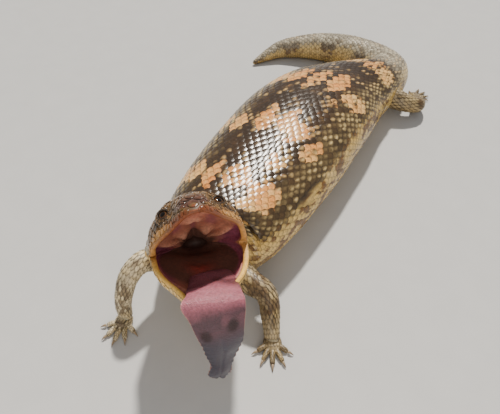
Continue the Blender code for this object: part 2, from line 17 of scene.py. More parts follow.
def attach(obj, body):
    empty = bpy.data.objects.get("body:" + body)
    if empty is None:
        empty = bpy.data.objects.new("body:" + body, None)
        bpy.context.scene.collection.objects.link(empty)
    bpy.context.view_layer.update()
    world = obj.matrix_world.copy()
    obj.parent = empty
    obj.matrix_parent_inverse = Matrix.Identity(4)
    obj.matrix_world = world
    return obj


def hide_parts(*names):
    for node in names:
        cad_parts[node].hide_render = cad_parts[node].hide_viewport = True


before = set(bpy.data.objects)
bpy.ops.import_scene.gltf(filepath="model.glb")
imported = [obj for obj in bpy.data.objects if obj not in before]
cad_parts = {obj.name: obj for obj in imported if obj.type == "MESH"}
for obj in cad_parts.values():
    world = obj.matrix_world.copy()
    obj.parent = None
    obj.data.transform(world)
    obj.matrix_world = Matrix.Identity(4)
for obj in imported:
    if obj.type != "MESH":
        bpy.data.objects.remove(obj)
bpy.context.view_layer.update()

MM = 0.001
GAP = 0.3
FLOOR = 0.0

# Places are written about a point beside the belly. This moves the origin to the box's bottom centre.
ORIGIN = (2.5, -20.0, 0.0)

# The head: the hinge is the point between the corners of the mouth.
HINGE = (45.2, -142.1, 54.0)
HEAD_HEADING = 52.9
HEAD_LIFT = 40.4
HEAD_ROLL = -3.2
JAW_TWIST = 6.7
GAPE = 59.2
HEAD_BACK = -19.0
UPPER_LENGTH = 42.0
LOWER_LENGTH = 42.0
CORNER = 2.5
LIP = 2.6
THROAT = -16.0

# Distance in front of the hinge, then half width, height of the cranium and depth of the lower jaw.
HEAD = [
    (-19.0, 20.0, 16.5, 16.0),
    (-13.0, 22.3, 17.8, 15.2),
    (-6.0, 23.9, 18.8, 13.8),
    (0.0, 23.0, 19.0, 12.5),
    (7.0, 21.9, 18.6, 11.0),
    (14.0, 20.7, 17.6, 9.8),
    (21.0, 17.9, 17.2, 8.8),
    (28.0, 13.5, 15.2, 7.8),
    (34.0, 10.9, 13.2, 6.9),
    (38.0, 10.0, 11.8, 6.3),
    (42.0, 9.2, 10.6, 5.6),
]
# Distance in front of the hinge, then how far the palate is hollowed and the floor sunk.
MOUTH = [
    (-19.0, 8.0, 7.0),
    (-13.0, 8.5, 7.0),
    (-5.0, 9.0, 5.5),
    (5.0, 8.0, 4.5),
    (15.0, 6.5, 4.0),
    (25.0, 5.0, 3.2),
    (34.0, 3.2, 2.4),
    (42.0, 2.0, 1.6),
]

# The lines round the head crowd towards the snout and the chin by this share.
CROWDING = 0.2

EYE_RADIUS = 3.4
EYE_SINK = 2.7
EYE_TURN = 26.0
EYE_PLACE = (25.5, 31.5)
LID_THICKNESS = 0.8
LID_OPENING = (2.9, 2.0)
NOSTRIL_PLACE = (37.6, 46.0)
NOSTRIL_RADIUS = 0.8
EAR_PLACE = (-9.5, 21.0)
EAR_SIZE = (1.5, 2.4)
EAR_DEPTH = 1.6

# One row for each station from the nape to the tail's tip:
# x, y, z of the axis, half width, height above the axis and depth below it.
TRUNK = [
    (32.8, -127.0, 33.0, 23.0, 17.5, 18.5),
    (30.2, -118.5, 27.0, 28.5, 19.5, 21.5),
    (26.5, -103.0, 24.0, 34.5, 22.0, 23.5),
    (20.5, -70.0, 22.5, 40.5, 24.5, 24.0),
    (14.5, -30.0, 22.0, 43.5, 26.0, 24.0),
    (9.8, 3.0, 22.0, 44.0, 26.0, 24.0),
    (9.0, 33.0, 21.5, 41.5, 24.5, 23.0),
    (11.9, 58.7, 19.5, 35.5, 21.5, 21.0),
    (17.5, 82.0, 18.0, 27.5, 19.0, 19.5),
    (22.5, 104.0, 16.5, 19.5, 16.0, 17.5),
    (17.5, 119.5, 15.8, 17.0, 15.0, 16.5),
    (-1.0, 129.0, 14.5, 15.2, 14.5, 15.0),
    (-28.0, 132.5, 13.0, 13.7, 13.3, 13.5),
    (-54.0, 127.3, 11.0, 11.4, 11.0, 11.3),
    (-77.0, 112.5, 8.0, 8.2, 8.0, 8.2),
    (-85.0, 98.5, 5.4, 5.3, 5.2, 5.4),
    (-90.5, 82.0, 2.4, 1.6, 1.6, 2.0),
]
# The tongue, in the upright plane of its heading: distance ahead of the hinge, height, shift to the
# left, half width and half thickness.
TONGUE_HEADING = 50.4
TONGUE_ROLL = -8.0
TONGUE = [
    (16.0, 54.4, 2.4, 8.8, 1.5),
    (19.5, 55.7, 2.9, 10.1, 2.4),
    (25.0, 58.3, 2.8, 10.6, 2.6),
    (30.2, 62.0, 2.0, 11.0, 2.5),
    (35.2, 66.2, 1.6, 11.0, 2.0),
    (39.8, 67.9, 1.4, 11.5, 1.8),
    (43.8, 64.8, 1.3, 11.1, 1.7),
    (46.3, 58.2, 1.4, 9.8, 1.9),
    (47.0, 50.1, 1.8, 8.5, 2.0),
    (46.5, 41.3, 1.5, 7.0, 1.9),
    (46.0, 32.8, 1.0, 5.1, 1.7),
    (45.6, 26.0, 0.3, 4.8, 1.5),
    (45.2, 20.5, -0.3, 4.6, 1.2),
    (45.0, 16.6, -0.6, 2.6, 0.8),
]
# The pointed corner on its right: the place counted in rows, how many rows it spreads over and its reach.
TONGUE_CORNER = (5.2, 0.6, 2.2)

# Each leg's stations from inside the body to the sole: x, y, z and the two half thicknesses.
LEGS = {
    "front_right": [
        (27.0, -126.0, 23.0, 7.5, 8.0),
        (18.8, -141.0, 26.5, 6.4, 6.8),
        (15.8, -153.0, 32.5, 5.5, 5.8),
        (15.0, -162.0, 29.5, 5.1, 5.3),
        (14.0, -166.5, 20.0, 4.6, 4.9),
        (13.2, -168.5, 10.5, 4.1, 4.3),
        (14.0, -169.5, 4.2, 3.8, 3.6),
    ],
    "front_left": [
        (46.0, -121.0, 20.0, 8.3, 8.3),
        (61.0, -123.0, 20.0, 6.6, 6.8),
        (69.0, -122.8, 18.8, 5.8, 6.0),
        (73.4, -124.4, 15.2, 5.4, 5.6),
        (77.0, -128.0, 10.6, 5.0, 5.2),
        (80.4, -131.6, 6.6, 4.3, 4.5),
        (82.4, -133.8, 4.2, 4.0, 3.6),
    ],
    "hind_left": [
        (24.0, 84.0, 17.0, 9.5, 9.5),
        (37.0, 86.5, 14.5, 8.6, 8.8),
        (49.5, 89.5, 12.0, 7.0, 7.2),
        (57.0, 95.5, 9.5, 5.7, 5.9),
        (55.5, 103.5, 7.5, 5.2, 5.4),
        (50.0, 109.5, 5.8, 4.3, 4.4),
        (47.5, 113.0, 4.2, 4.0, 3.6),
    ],
    "hind_right": [
        (9.0, 78.0, 17.0, 9.5, 9.5),
        (-5.0, 75.5, 14.5, 8.6, 8.8),
        (-17.0, 74.0, 12.0, 7.0, 7.2),
        (-25.0, 77.0, 9.5, 5.7, 5.9),
        (-26.5, 85.0, 7.5, 5.2, 5.4),
        (-26.0, 92.5, 5.8, 4.3, 4.4),
        (-26.5, 96.5, 4.2, 4.0, 3.6),
    ],
}

# A foot: the toes' spread from the heading in degrees, with their lengths. The first is the inner toe.
TOES = {
    "front": ((-62, 5.5), (-30, 7.5), (-4, 8.5), (22, 8.0), (54, 5.5)),
    "hind": ((-48, 5.5), (-22, 8.0), (0, 10.0), (20, 11.0), (52, 6.5)),
}
FOOT_HEADING = {"front_right": -72.0, "front_left": -50.0, "hind_left": 78.0, "hind_right": 112.0}
PALM_LENGTH = 10.0
PALM_WIDTH = 9.5
PALM_HEIGHT = 4.6
TOE_RADIUS = 1.55
CLAW_LENGTH = 3.2
CLAW_RADIUS = 0.85


# The sheet that the body's scales lie on: mm between its rings, and points round each.
SHEET_STEP, SHEET_SIDES = 0.8, 240
# The skin: its depth under the coat, its points round the girth, its rings along trunk and tail, and
# its rings along the head's outside, round the lips and down the mouth.
SKIN_DEPTH = 0.6
SKIN_SIDES = 176
BODY_RINGS = 250
HEAD_STEPS = (64, 8, 34)
# Powers that space the head's rings: outside, along the lip and down the mouth.
OUTER_EASE, LIP_EASE, MOUTH_EASE = 1.6, 0.85, 1.3
# The lids' ball stands this far out from the eye's middle, in mm, so that it stays clear of the palate.
LID_SHIFT = 0.7
# How deep the skin lies under the coat of a leg, a palm and a toe, in mm.
LEG_DEPTH, PALM_DEPTH, TOE_DEPTH = 0.4, 0.25, 0.15
# No part of a leg lies above this height, in mm.
SHOULDER_HEIGHT = 40.0
GLOTTIS_PLACE = 0.48
# Soft forms of the head's sides: place (distance, angle), how far each reaches and its height, in mm.
HEAD_FORMS = [((32.0, 32.0), 4.5, -1.1), ((23.0, 55.0), 3.6, 0.7), ((14.0, 30.0), 6.0, 0.5)]

# A scale: its length in rows of scales, the share of it that lies behind its place, its half width in
# shares of its place round the girth, and how far it domes in shares of its width.
SCALE_REACH, TUCK, HALF_WIDTH, DOMING = 2.05, 0.45, 0.57, 0.068
# How far the body's scales stand up behind and how thick they are, and how thick the legs' are, in mm.
BODY_LIFT, BODY_THICK, LEG_THICK = 0.46, 0.30, 0.22
# Half the side of each scale's patch of the bake map, in shares of the map.
PATCH_HALF = 0.0015
# Lengths of the body's scales at places along it, in mm, and their number round it up to a place.
SCALE_PLACES = (0, 20, 60, 180, 240, 300, 360, 400)
SCALE_LENGTHS = (2.9, 3.2, 3.75, 3.75, 3.3, 2.9, 2.3, 1.8)
SCALE_COUNTS = ((240, 46), (256, 38), (276, 32), (304, 26), (332, 22), (358, 17), (380, 13))
LAST_COUNT = 9
# Names of the coat's lengths, with where each begins and ends.
COAT_NAMES = ("neck", "shoulders", "back", "loins", "tail")
COAT_ENDS = (-5, 62, 122, 182, 246, 420)

# Shields of the crown: distance ahead, degrees off the middle line, and size. Those off the line
# are made on both sides.
CROWN = [
    (41.0, 0, 5.6), (37.8, 42, 3.2), (35.8, 0, 5.0), (34.0, 50, 2.8), (31.0, 21, 4.2),
    (30.8, 58, 2.6), (25.6, 0, 5.6), (28.3, 44, 2.6), (24.6, 40, 3.0), (20.6, 39, 3.0),
    (16.9, 38, 2.6), (18.2, 12, 3.4), (12.0, 0, 3.8), (11.2, 27, 4.6), (13.0, 50, 3.0),
    (5.8, 12, 3.6), (5.2, 36, 3.6), (0.2, 0, 3.0), (-0.8, 22, 3.2),
]
# Angles of the lines that the labial shields sit on, from the corner of the mouth to the middle.
UPPER_LABIALS = (9, 15, 22, 29.5, 37.5, 46.5, 57, 70.5)
LOWER_LABIALS = (10, 17, 25, 33.5, 43, 54, 68)
# Rings of granules on the lids: how many, and how far ahead and up they stand from the eye's middle.
LID_GRANULES = ((14, (3.5, 2.7)), (17, (4.9, 4.2)))
EAR_GRANULES = 9
# A plate above this size is a shield, with more corners. Plates have corners and a steepest step
# between neighbouring arms.
SHIELD_SIZE = 2.7
SHIELD_SHAPE, PLATE_SHAPE = (28, 1.10), (12, 1.22)

# Blotches: distance from the nape, place round the body (left of the spine is positive), half
# length and half width, all in mm but the second, and how solid and how pale each is.
BLOTCHES = [
    (51, -0.073, 13, 4.5, 1.0, 0.1), (52, -0.133, 10, 5.0, 1.0, 0.8), (54, 0.0, 10, 8.0, 0.75, 0.3),
    (48, 0.095, 10, 9.5, 1.0, 0.35), (36, 0.072, 6, 6.0, 0.9, 0.8), (102, -0.116, 10, 5.0, 1.0, 0.7),
    (110, -0.045, 15, 5.0, 1.0, 0.3), (113, 0.015, 13, 6.5, 0.95, 0.3), (106, 0.062, 11, 7.5, 1.0, 0.3),
    (98, 0.122, 10, 5.5, 1.0, 0.45), (78, 0.066, 9, 6.0, 0.6, 0.5), (169, -0.018, 16, 4.5, 1.0, 0.4),
    (174, 0.047, 16, 6.0, 1.0, 0.25), (165, 0.135, 10, 9.5, 0.95, 0.75), (145, 0.077, 10, 4.5, 0.55, 0.6),
    (168, -0.085, 13, 6.0, 1.0, 0.4), (164, -0.15, 11, 8.0, 0.95, 0.75), (226, 0.11, 10, 9.0, 0.8, 1.0),
    (224, -0.105, 11, 9.0, 0.85, 0.9), (229, 0.01, 11, 5.5, 0.8, 0.5), (50, -0.185, 9, 7.0, 0.8, 0.9),
    (104, -0.175, 10, 7.0, 0.8, 0.8), (20, -0.08, 7, 4.0, 0.6, 0.5), (18, 0.12, 7, 5.0, 0.7, 0.9),
]

# Colours, linear: of the body, the legs and the head's outside.
INK = (0.012, 0.009, 0.008)
DARK = (0.030, 0.020, 0.013)
UMBER = (0.085, 0.046, 0.022)
SALMON = (0.80, 0.27, 0.055)
PEACH = (0.88, 0.49, 0.16)
CREAM = (0.76, 0.56, 0.25)
OLIVE = (0.15, 0.105, 0.045)
STRAW = (0.66, 0.42, 0.10)
RUST = (0.10, 0.032, 0.012)
TAIL_GREY = (0.54, 0.48, 0.36)
LEG_GREY = (0.72, 0.61, 0.40)
LEG_OLIVE = (0.17, 0.112, 0.046)
BROWN = (0.105, 0.056, 0.028)
FINE_DARK = (0.035, 0.020, 0.012)
SNOUT_WINE = (0.085, 0.034, 0.026)
TAN = (0.52, 0.26, 0.075)
JAW_YELLOW = (0.85, 0.50, 0.10)
LID_BROWN = (0.05, 0.033, 0.022)
# Painted shade for the nostrils and ear openings.
HOLE_SHADE = (0.012, 0.008, 0.006)
# Of the lips, the mouth's lining and the tongue.
LIP_ORANGE = (0.20, 0.058, 0.022)
LOWER_LIP = (0.40, 0.16, 0.11)
PALATE = (0.36, 0.130, 0.085)
# The palate's pale lobes, partly their own colour and partly painted light on the raised parts.
PALE_LIT_LOBE = (0.66, 0.32, 0.21)
CHEEK = (0.25, 0.065, 0.105)
# The gullet's colour is painted shade of the deep throat.
GULLET_SHADE = (0.118, 0.055, 0.040)
GLOTTIS = (0.24, 0.042, 0.030)
# The tongue's root is darkened as painted shade inside the mouth. Its plum and slate are its own hues,
# darkened as painted shade.
SHADED_TONGUE_ROOT = (0.12, 0.036, 0.046)
TONGUE_MAUVE = (0.36, 0.115, 0.150)
SHADED_TONGUE_PLUM = (0.085, 0.042, 0.055)
SHADED_TONGUE_SLATE = (0.052, 0.046, 0.062)
TONGUE_TIP = (0.085, 0.080, 0.098)
# Painted shade of the tongue's folds, and a painted rim light for its edges.
TONGUE_FOLD_SHADE = (0.026, 0.009, 0.011)
TONGUE_RIM_LIGHT = (0.58, 0.30, 0.24)
# Of the eyes and the claws.
EYE_DARK, IRIS, PUPIL = (0.02, 0.012, 0.008), (0.10, 0.045, 0.018), (0.004, 0.003, 0.003)
CLAW_ROOT, CLAW_TIP = (0.40, 0.30, 0.19), (0.14, 0.095, 0.06)

# Finishes: their shine in shares, and how far light scatters in flesh, in metres, with its colour.
SHINE = 0.33
SCATTER = 0.0015
SCATTER_COLOUR = (1.0, 0.35, 0.2)

# The camera has the photograph's angle, and a lens as long as its sensor is wide, in mm.
CAMERA_PLACE = (0.1505, -0.226, 0.228)
CAMERA_TURN = (45, 0, 37)
LENS = 36.0
# The sun: its turn in degrees, then its strength, apparent width in degrees and colour.
KEY_TURN = (-36, -14, 10)
KEY_LIGHT = (5.4, 4, (1.0, 0.94, 0.84))
# Soft lamps: place and aim in metres, power, size and colour. The second lamp's place is counted from
# the mouth, which it is aimed at.
FILL_LAMP = ((0.5, -0.75, 0.55), (0, -0.1, 0.03), 2.2, 0.9, (1.0, 0.93, 0.84))
MOUTH_LAMP = ((0.40, -0.34, 0.14), 1.0, 0.30, (1.0, 0.90, 0.78))
SKY = ((0.95, 0.97, 1.0, 1), 0.36)

SIDES = {"left": 1, "right": -1}


def at(rows, places):
    """The Catmull-Rom curve through the rows, at places counted in rows."""
    rows = np.asarray(rows, float)
    padded = np.vstack([2 * rows[0] - rows[1], rows, 2 * rows[-1] - rows[-2]])
    places = np.clip(np.asarray(places, float), 0, len(rows) - 1 - 1e-9)
    i = places.astype(int)
    u = (places - i)[..., None]
    p0, p1, p2, p3 = (padded[i + k] for k in range(4))
    return 0.5 * (
        2 * p1
        + (p2 - p0) * u
        + (2 * p0 - 5 * p1 + 4 * p2 - p3) * u**2
        + (3 * p1 - p0 - 3 * p2 + p3) * u**3
    )


def table(rows, t):
    """The rows' other columns at t, where their first column rises."""
    rows = np.asarray(rows, float)
    return at(rows[:, 1:], np.interp(t, rows[:, 0], np.arange(len(rows))))


def unit(v):
    """Directions of length one."""
    return v / np.linalg.norm(v, axis=-1, keepdims=True)


def smooth(x):
    """A soft step from 0 to 1."""
    x = np.clip(x, 0, 1)
    return x * x * (3 - 2 * x)


def rounded(angle):
    """Cosine and sine of the angle, raised so that the section fills out its box a little."""
    c, s = np.cos(angle), np.sin(angle)
    return np.sign(c) * np.abs(c) ** 0.9, np.sign(s) * np.abs(s) ** 0.95


def head_frame():
    """The head's left, forward and up directions."""
    heading, lift, roll = np.radians([HEAD_HEADING, HEAD_LIFT, HEAD_ROLL])
    forward = np.array(
        [math.sin(heading) * math.cos(lift), -math.cos(heading) * math.cos(lift), math.sin(lift)]
    )
    left = unit(np.cross((0, 0, 1), forward))
    up = np.cross(forward, left)
    return (
        left * math.cos(roll) + up * math.sin(roll),
        forward,
        up * math.cos(roll) - left * math.sin(roll),
    )


def trunk_rows():
    """The trunk's stations, with the nape's own ring where the head ends."""
    nape = np.asarray(HINGE) + HEAD_BACK * head_frame()[1]
    return np.vstack([np.concatenate([nape, HEAD[0][1:]]), TRUNK])


def trunk_frames(places):
    """Axis points, left and up directions and the three radii at places counted in stations."""
    places = np.asarray(places, float)
    stations = trunk_rows()
    rows = at(stations, places)
    step = 0.02
    forward = unit(at(stations, places - step)[:, :3] - at(stations, places + step)[:, :3])
    left = unit(np.cross((0.0, 0.0, 1.0), forward))
    up = np.cross(forward, left)
    head_left, _, head_up = head_frame()
    share = smooth(1 - places / 2.5)[:, None]
    left = unit(left * (1 - share) + head_left * share)
    up = unit(up * (1 - share) + head_up * share)
    return rows[:, :3], left, up, rows[:, 3:]


def trunk_points(places, angles):
    """The trunk's and tail's skin, one ring for each place, with the belly pressed flat on the floor."""
    axis, left, up, radii = trunk_frames(places)
    c, s = rounded(np.asarray(angles))
    x = np.outer(radii[:, 0], c)
    z = np.outer(radii[:, 1], np.maximum(s, 0)) + np.outer(radii[:, 2], np.minimum(s, 0))
    points = axis[:, None] + left[:, None] * x[..., None] + up[:, None] * z[..., None]
    points[..., 2] = np.maximum(points[..., 2], FLOOR)
    return points


def jaw_sizes(t, upper, inset=0.0):
    """Half width and height (or depth) of the closed head at t, shrunk by inset, shut at the tip."""
    width, height, depth = np.moveaxis(table(HEAD, t), -1, 0)
    length = (UPPER_LENGTH if upper else LOWER_LENGTH) - inset
    close = np.sqrt(np.clip(1 - np.clip(t / length, 0, 1) ** 6, 0, 1))
    return (width - inset) * close, (height if upper else depth) * close


def opened(x, t, n, angle):
    """A point of the closed head (x left, t forward, n up) once the mouth is open."""
    side = np.sign(np.sin(angle)) * np.minimum(np.abs(np.sin(angle)) / 0.4, 1) ** 0.8
    share = side * smooth((t - HEAD_BACK) / (10 - HEAD_BACK))
    turn = np.radians(GAPE / 2) * share
    twist = np.radians(JAW_TWIST) * share
    y = t * np.cos(turn) - n * np.sin(turn)
    z = t * np.sin(turn) + n * np.cos(turn)
    x, z = x * np.cos(twist) - z * np.sin(twist), x * np.sin(twist) + z * np.cos(twist)
    left, forward, up = head_frame()
    return np.asarray(HINGE) + x[..., None] * left + y[..., None] * forward + z[..., None] * up


def head_column(angle, outer_steps, rim_steps, inner_steps):
    """One line of the head's skin, from the nape over the lip and down the mouth to the throat."""
    upper = math.sin(angle) >= 0
    sign = 1.0 if upper else -1.0
    side = 1.0 if math.cos(angle) >= 0 else -1.0
    length = UPPER_LENGTH if upper else LOWER_LENGTH
    folded = math.asin(min(abs(math.sin(angle)), 1.0))
    steep = 2 + 12 * abs(math.sin(angle)) ** 6
    reach = (folded / (math.pi / 2)) ** LIP_EASE

    v = 1 - (1 - np.linspace(0, 1, outer_steps)) ** OUTER_EASE
    rim = CORNER + (length - CORNER) * reach
    t = HEAD_BACK + (rim - HEAD_BACK) * v
    width, height = jaw_sizes(t, upper)
    c, s = rounded(folded * (1 - v**steep))
    outer = np.stack([width * c * side, t, height * s * sign], -1)

    w = np.linspace(0, 1, inner_steps) ** MOUTH_EASE
    start = CORNER - LIP * 0.3
    inner_rim = start + (length - LIP - start) * reach
    t = inner_rim + (THROAT - inner_rim) * w
    width = np.maximum(jaw_sizes(t, upper, LIP)[0], 0) * (0.3 + 0.7 * smooth((t - THROAT) / 24))
    vault = table(MOUTH, t)[:, 0 if upper else 1] * (0.35 + 0.65 * smooth((t - THROAT) / 9))
    c, s = rounded(folded * (1 - (1 - w) ** steep))
    inner = np.stack([width * c * side, t, vault * s * sign], -1)

    roll = np.linspace(0, math.pi, rim_steps + 2)[1:-1, None]
    middle, half = (outer[-1] + inner[0]) / 2, (outer[-1] - inner[0]) / 2
    down = np.array([0, 0, -sign * LIP / 2 * min(abs(math.sin(angle)) / 0.5, 1) ** 1.5])
    lip = middle + half * np.cos(roll) + down * np.sin(roll)
    line = np.vstack([outer, lip, inner])
    return opened(line[:, 0], line[:, 1], line[:, 2], np.full(len(line), angle))


def on_head(place, side):
    """A point of the upper head's skin at (distance, angle in degrees), with its outward, forward and
    upward directions."""

    def point(t, degrees):
        t = np.array([t])
        width, height = jaw_sizes(t, True)
        c, s = rounded(np.radians([degrees]))
        return opened(width * c * side, t, height * s, np.array([math.pi / 2]))[0]

    t, degrees = place
    forward = unit(point(t + 0.5, degrees) - point(t - 0.5, degrees))
    upward = point(t, degrees + 2) - point(t, degrees - 2)
    upward = unit(upward - forward * (upward @ forward))
    return point(t, degrees), np.cross(forward, upward) * -side, forward, upward


def eye_frame(side):
    """The eye's middle, and the outward, forward and upward directions of its lids, which look ahead."""
    point, out, forward, up = on_head(EYE_PLACE, side)
    turn = math.radians(EYE_TURN)
    look = out * math.cos(turn) + forward * math.sin(turn)
    return point - out * EYE_SINK, look, forward * math.cos(turn) - out * math.sin(turn), up


def path_frames(points, side):
    """Directions across and over a path, with the first kept as near the given side as it can be."""
    ahead = unit(np.gradient(points, axis=0))
    across = unit(np.asarray(side) - ahead * (ahead @ np.asarray(side))[:, None])
    return across, np.cross(ahead, across)


def leg_points(name, places, sides):
    """A leg's skin, one ring for each place counted in stations from inside the body to the palm."""
    middle = foot_frame(name)[0]
    stations = np.vstack([LEGS[name], [*middle[:2], PALM_HEIGHT * 0.45, 3.2, 1.9]])
    rows = at(stations, places)
    step = 0.05
    ahead = unit(at(stations, places + step)[:, :3] - at(stations, places - step)[:, :3])
    side = np.array((0.3, 0.2, 1.0) if "hind" in name else (1.0, 0.3, 0.1))
    across = unit(side - ahead * (ahead @ side)[:, None])
    over = np.cross(ahead, across)
    angles = np.arange(sides) * 2 * math.pi / sides
    x = np.outer(rows[:, 3], np.cos(angles))
    z = np.outer(rows[:, 4], np.sin(angles))
    points = rows[:, None, :3] + across[:, None] * x[..., None] + over[:, None] * z[..., None]
    points[..., 2] = np.maximum(points[..., 2], FLOOR)
    return points


def foot_frame(name):
    """The sole's middle and its heading."""
    heading = math.radians(FOOT_HEADING[name])
    ahead = np.array([math.cos(heading), math.sin(heading), 0.0])
    ankle = np.array(LEGS[name][-1][:3])
    middle = ankle + ahead * PALM_LENGTH * 0.25
    middle[2] = 0
    return middle, ahead, np.cross((0, 0, 1), ahead)


def palm_points(name, rings, sides):
    """The palm: a low dome that stands on the floor."""
    middle, ahead, across = foot_frame(name)
    tilt = np.linspace(-math.pi / 2, math.pi / 2, rings + 2)[1:-1]
    angles = np.arange(sides) * 2 * math.pi / sides
    x = np.sin(tilt)[:, None] * np.ones(sides) * PALM_LENGTH / 2
    y = np.outer(np.cos(tilt) ** 0.8, np.cos(angles)) * PALM_WIDTH / 2
    z = np.outer(np.cos(tilt) ** 0.7, np.sin(angles)) * PALM_HEIGHT / 2 + PALM_HEIGHT * 0.4
    points = middle + ahead * x[..., None] + across * y[..., None] + np.array((0, 0, 1)) * z[..., None]
    points[..., 2] = np.maximum(points[..., 2], FLOOR)
    return points


def toe_line(name, index, inner_side):
    """A toe's root, direction and length."""
    middle, ahead, across = foot_frame(name)
    kind = name.split("_")[0]
    spread, length = TOES[kind][index]
    spread = math.radians(spread) * inner_side
    direction = ahead * math.cos(spread) + across * math.sin(spread)
    root = middle + direction * PALM_WIDTH * 0.36 - ahead * 0.4
    return root, direction, length


def toe_points(name, index, inner_side, rings, sides):
    """A toe: a tapering tube that arches a little and lies on the floor."""
    root, direction, length = toe_line(name, index, inner_side)
    along = np.linspace(-2.2, length, rings)
    share = np.clip(along / length, 0, 1)
    radius = TOE_RADIUS * (1 - 0.25 * share)
    radius[-1] *= 0.6
    height = radius * 0.86 + 0.5 * np.sin(math.pi * share)
    angles = np.arange(sides) * 2 * math.pi / sides
    across = np.cross((0, 0, 1), direction)
    x = np.outer(radius, np.cos(angles))
    z = np.outer(radius, np.sin(angles)) + height[:, None]
    points = root + direction * along[:, None, None] + across * x[..., None]
    points[..., 2] += z
    points[..., 2] = np.maximum(points[..., 2], FLOOR)
    return points


def claw_points(name, index, inner_side, rings, sides):
    """A claw: a curved cone that starts a gap past its toe and turns down towards the floor."""
    root, direction, length = toe_line(name, index, inner_side)
    base = root + direction * (length + GAP)
    share = np.linspace(0, 1, rings)
    radius = CLAW_RADIUS * (1 - share) ** 0.8 + 0.08
    height = CLAW_RADIUS + 0.35 + 0.35 * np.sin(math.pi * 0.9 * share) - 0.75 * share**2
    angles = np.arange(sides) * 2 * math.pi / sides
    across = np.cross((0, 0, 1), direction)
    points = base + direction * (share * CLAW_LENGTH)[:, None, None] * np.ones((1, sides, 1))
    points = points + across * np.outer(radius * 0.8, np.cos(angles))[..., None]
    points[..., 2] += np.outer(radius, np.sin(angles)) + height[:, None]
    points[..., 2] = np.maximum(points[..., 2], FLOOR)
    return points


def tongue_points(rings, sides):
    """The tongue: flat, with thin edges and a thicker middle."""
    places = np.linspace(0, len(TONGUE) - 1, rings)
    rows = at(TONGUE, places)
    heading, roll = np.radians([TONGUE_HEADING, TONGUE_ROLL])
    ahead = np.array([math.sin(heading), -math.cos(heading), 0.0])
    level = np.array([math.cos(heading), math.sin(heading), 0.0])
    across = level * math.cos(roll) + np.array([0, 0, math.sin(roll)])
    path = np.array([HINGE[0], HINGE[1], 0.0]) + ahead * rows[:, :1] + level * rows[:, 2:3]
    path[:, 2] = rows[:, 1]
    across, over = path_frames(path, across)
    angles = np.arange(sides) * 2 * math.pi / sides
    c, s = np.cos(angles), np.sin(angles)
    x = np.outer(rows[:, 3], c)
    place, spread, reach = TONGUE_CORNER
    x -= np.outer(reach * np.exp(-(((places - place) / spread) ** 2)), np.maximum(-c, 0))
    z = np.outer(rows[:, 4], s * (0.35 + 0.65 * np.sqrt(np.abs(s))))
    return path[:, None] + across[:, None] * x[..., None] + over[:, None] * z[..., None]


def loft(rings):
    """Corners and faces of the closed solid between the rings, each end closed by a fan."""
    count, sides = rings.shape[:2]
    points = np.vstack([rings.reshape(-1, 3), rings[0].mean(0), rings[-1].mean(0)])
    faces = []
    for i in range(count - 1):
        for j in range(sides):
            a, b = i * sides + j, i * sides + (j + 1) % sides
            faces.append((a, b, b + sides, a + sides))
    last = (count - 1) * sides
    for j in range(sides):
        faces.append(((j + 1) % sides, j, count * sides))
        faces.append((last + j, last + (j + 1) % sides, count * sides + 1))
    return points, faces


def outward(rings):
    """Outward directions of rings of skin."""
    along = np.gradient(rings, axis=0)
    round_it = np.roll(rings, -1, 1) - np.roll(rings, 1, 1)
    normals = np.cross(along, round_it)
    normals /= np.linalg.norm(normals, axis=-1, keepdims=True) + 1e-12
    middle = rings.mean(1, keepdims=True)
    return normals * np.sign(((rings - middle) * normals).sum())


def even_rings(rings, count):
    """Rings with their points spaced evenly round the girth, from the first point."""
    made = np.empty((len(rings), count, 3))
    for k, ring in enumerate(rings):
        ring = np.vstack([ring, ring[:1]])
        run = np.concatenate([[0], np.cumsum(np.linalg.norm(np.diff(ring, axis=0), axis=1))])
        for axis in range(3):
            made[k, :, axis] = np.interp(np.arange(count) / count * run[-1], run, ring[:, axis])
    return made


def sheet_of(rings):
    """A sheet that scales are laid on: points, outward directions, run along it and girths."""
    middle = rings.mean(1)
    run = np.concatenate([[0], np.cumsum(np.linalg.norm(np.diff(middle, axis=0), axis=1))])
    girths = np.linalg.norm(np.roll(rings, -1, 1) - rings, axis=-1).sum(1)
    return {"points": rings, "normals": outward(rings), "run": run, "girths": girths}


def on_sheet(sheet, u, v):
    """Points, outward directions and girths at u mm along a sheet and the share v round it."""
    rows, columns = sheet["points"].shape[:2]
    i = np.clip(np.interp(u, sheet["run"], np.arange(rows)), 0, rows - 1.001)
    j = (v % 1) * columns
    i0, j0 = i.astype(int), np.minimum(j.astype(int), columns - 1)
    fi, fj = (i - i0)[..., None], (j - j0)[..., None]
    j1 = (j0 + 1) % columns

    def mix(a):
        near = a[i0, j0] * (1 - fj) + a[i0, j1] * fj
        return near * (1 - fi) + (a[i0 + 1, j0] * (1 - fj) + a[i0 + 1, j1] * fj) * fi

    girths = np.interp(u, sheet["run"], sheet["girths"])
    return mix(sheet["points"]), unit(mix(sheet["normals"])), girths


def cloud(points, size, seed):
    """Smooth random values from 0 to 1 that change over about the size in millimetres."""
    q = np.asarray(points) / size + seed * 17.3
    base = np.floor(q).astype(np.int64)
    part = q - base
    part = part * part * (3 - 2 * part)
    total = np.zeros(q.shape[:-1])
    for corner in range(8):
        bits = np.array([corner & 1, corner >> 1 & 1, corner >> 2 & 1])
        key = (base + bits) @ np.array([73856093, 19349663, 83492791])
        key = (key ^ (key >> 13)) * 1274126177 & 0xFFFFFFFF
        value = ((key ^ (key >> 16)) & 0xFFFF) / 65535
        total += value * np.prod(np.where(bits, part, 1 - part), axis=-1)
    return total


def redrawn(draw):
    """A second random number from each first one."""
    return draw * 97.31 % 1


def search_tree(points):
    """A tree that finds the number of the nearest point."""
    tree = KDTree(len(points))
    for n, point in enumerate(points):
        tree.insert(point, n)
    tree.balance()
    return tree


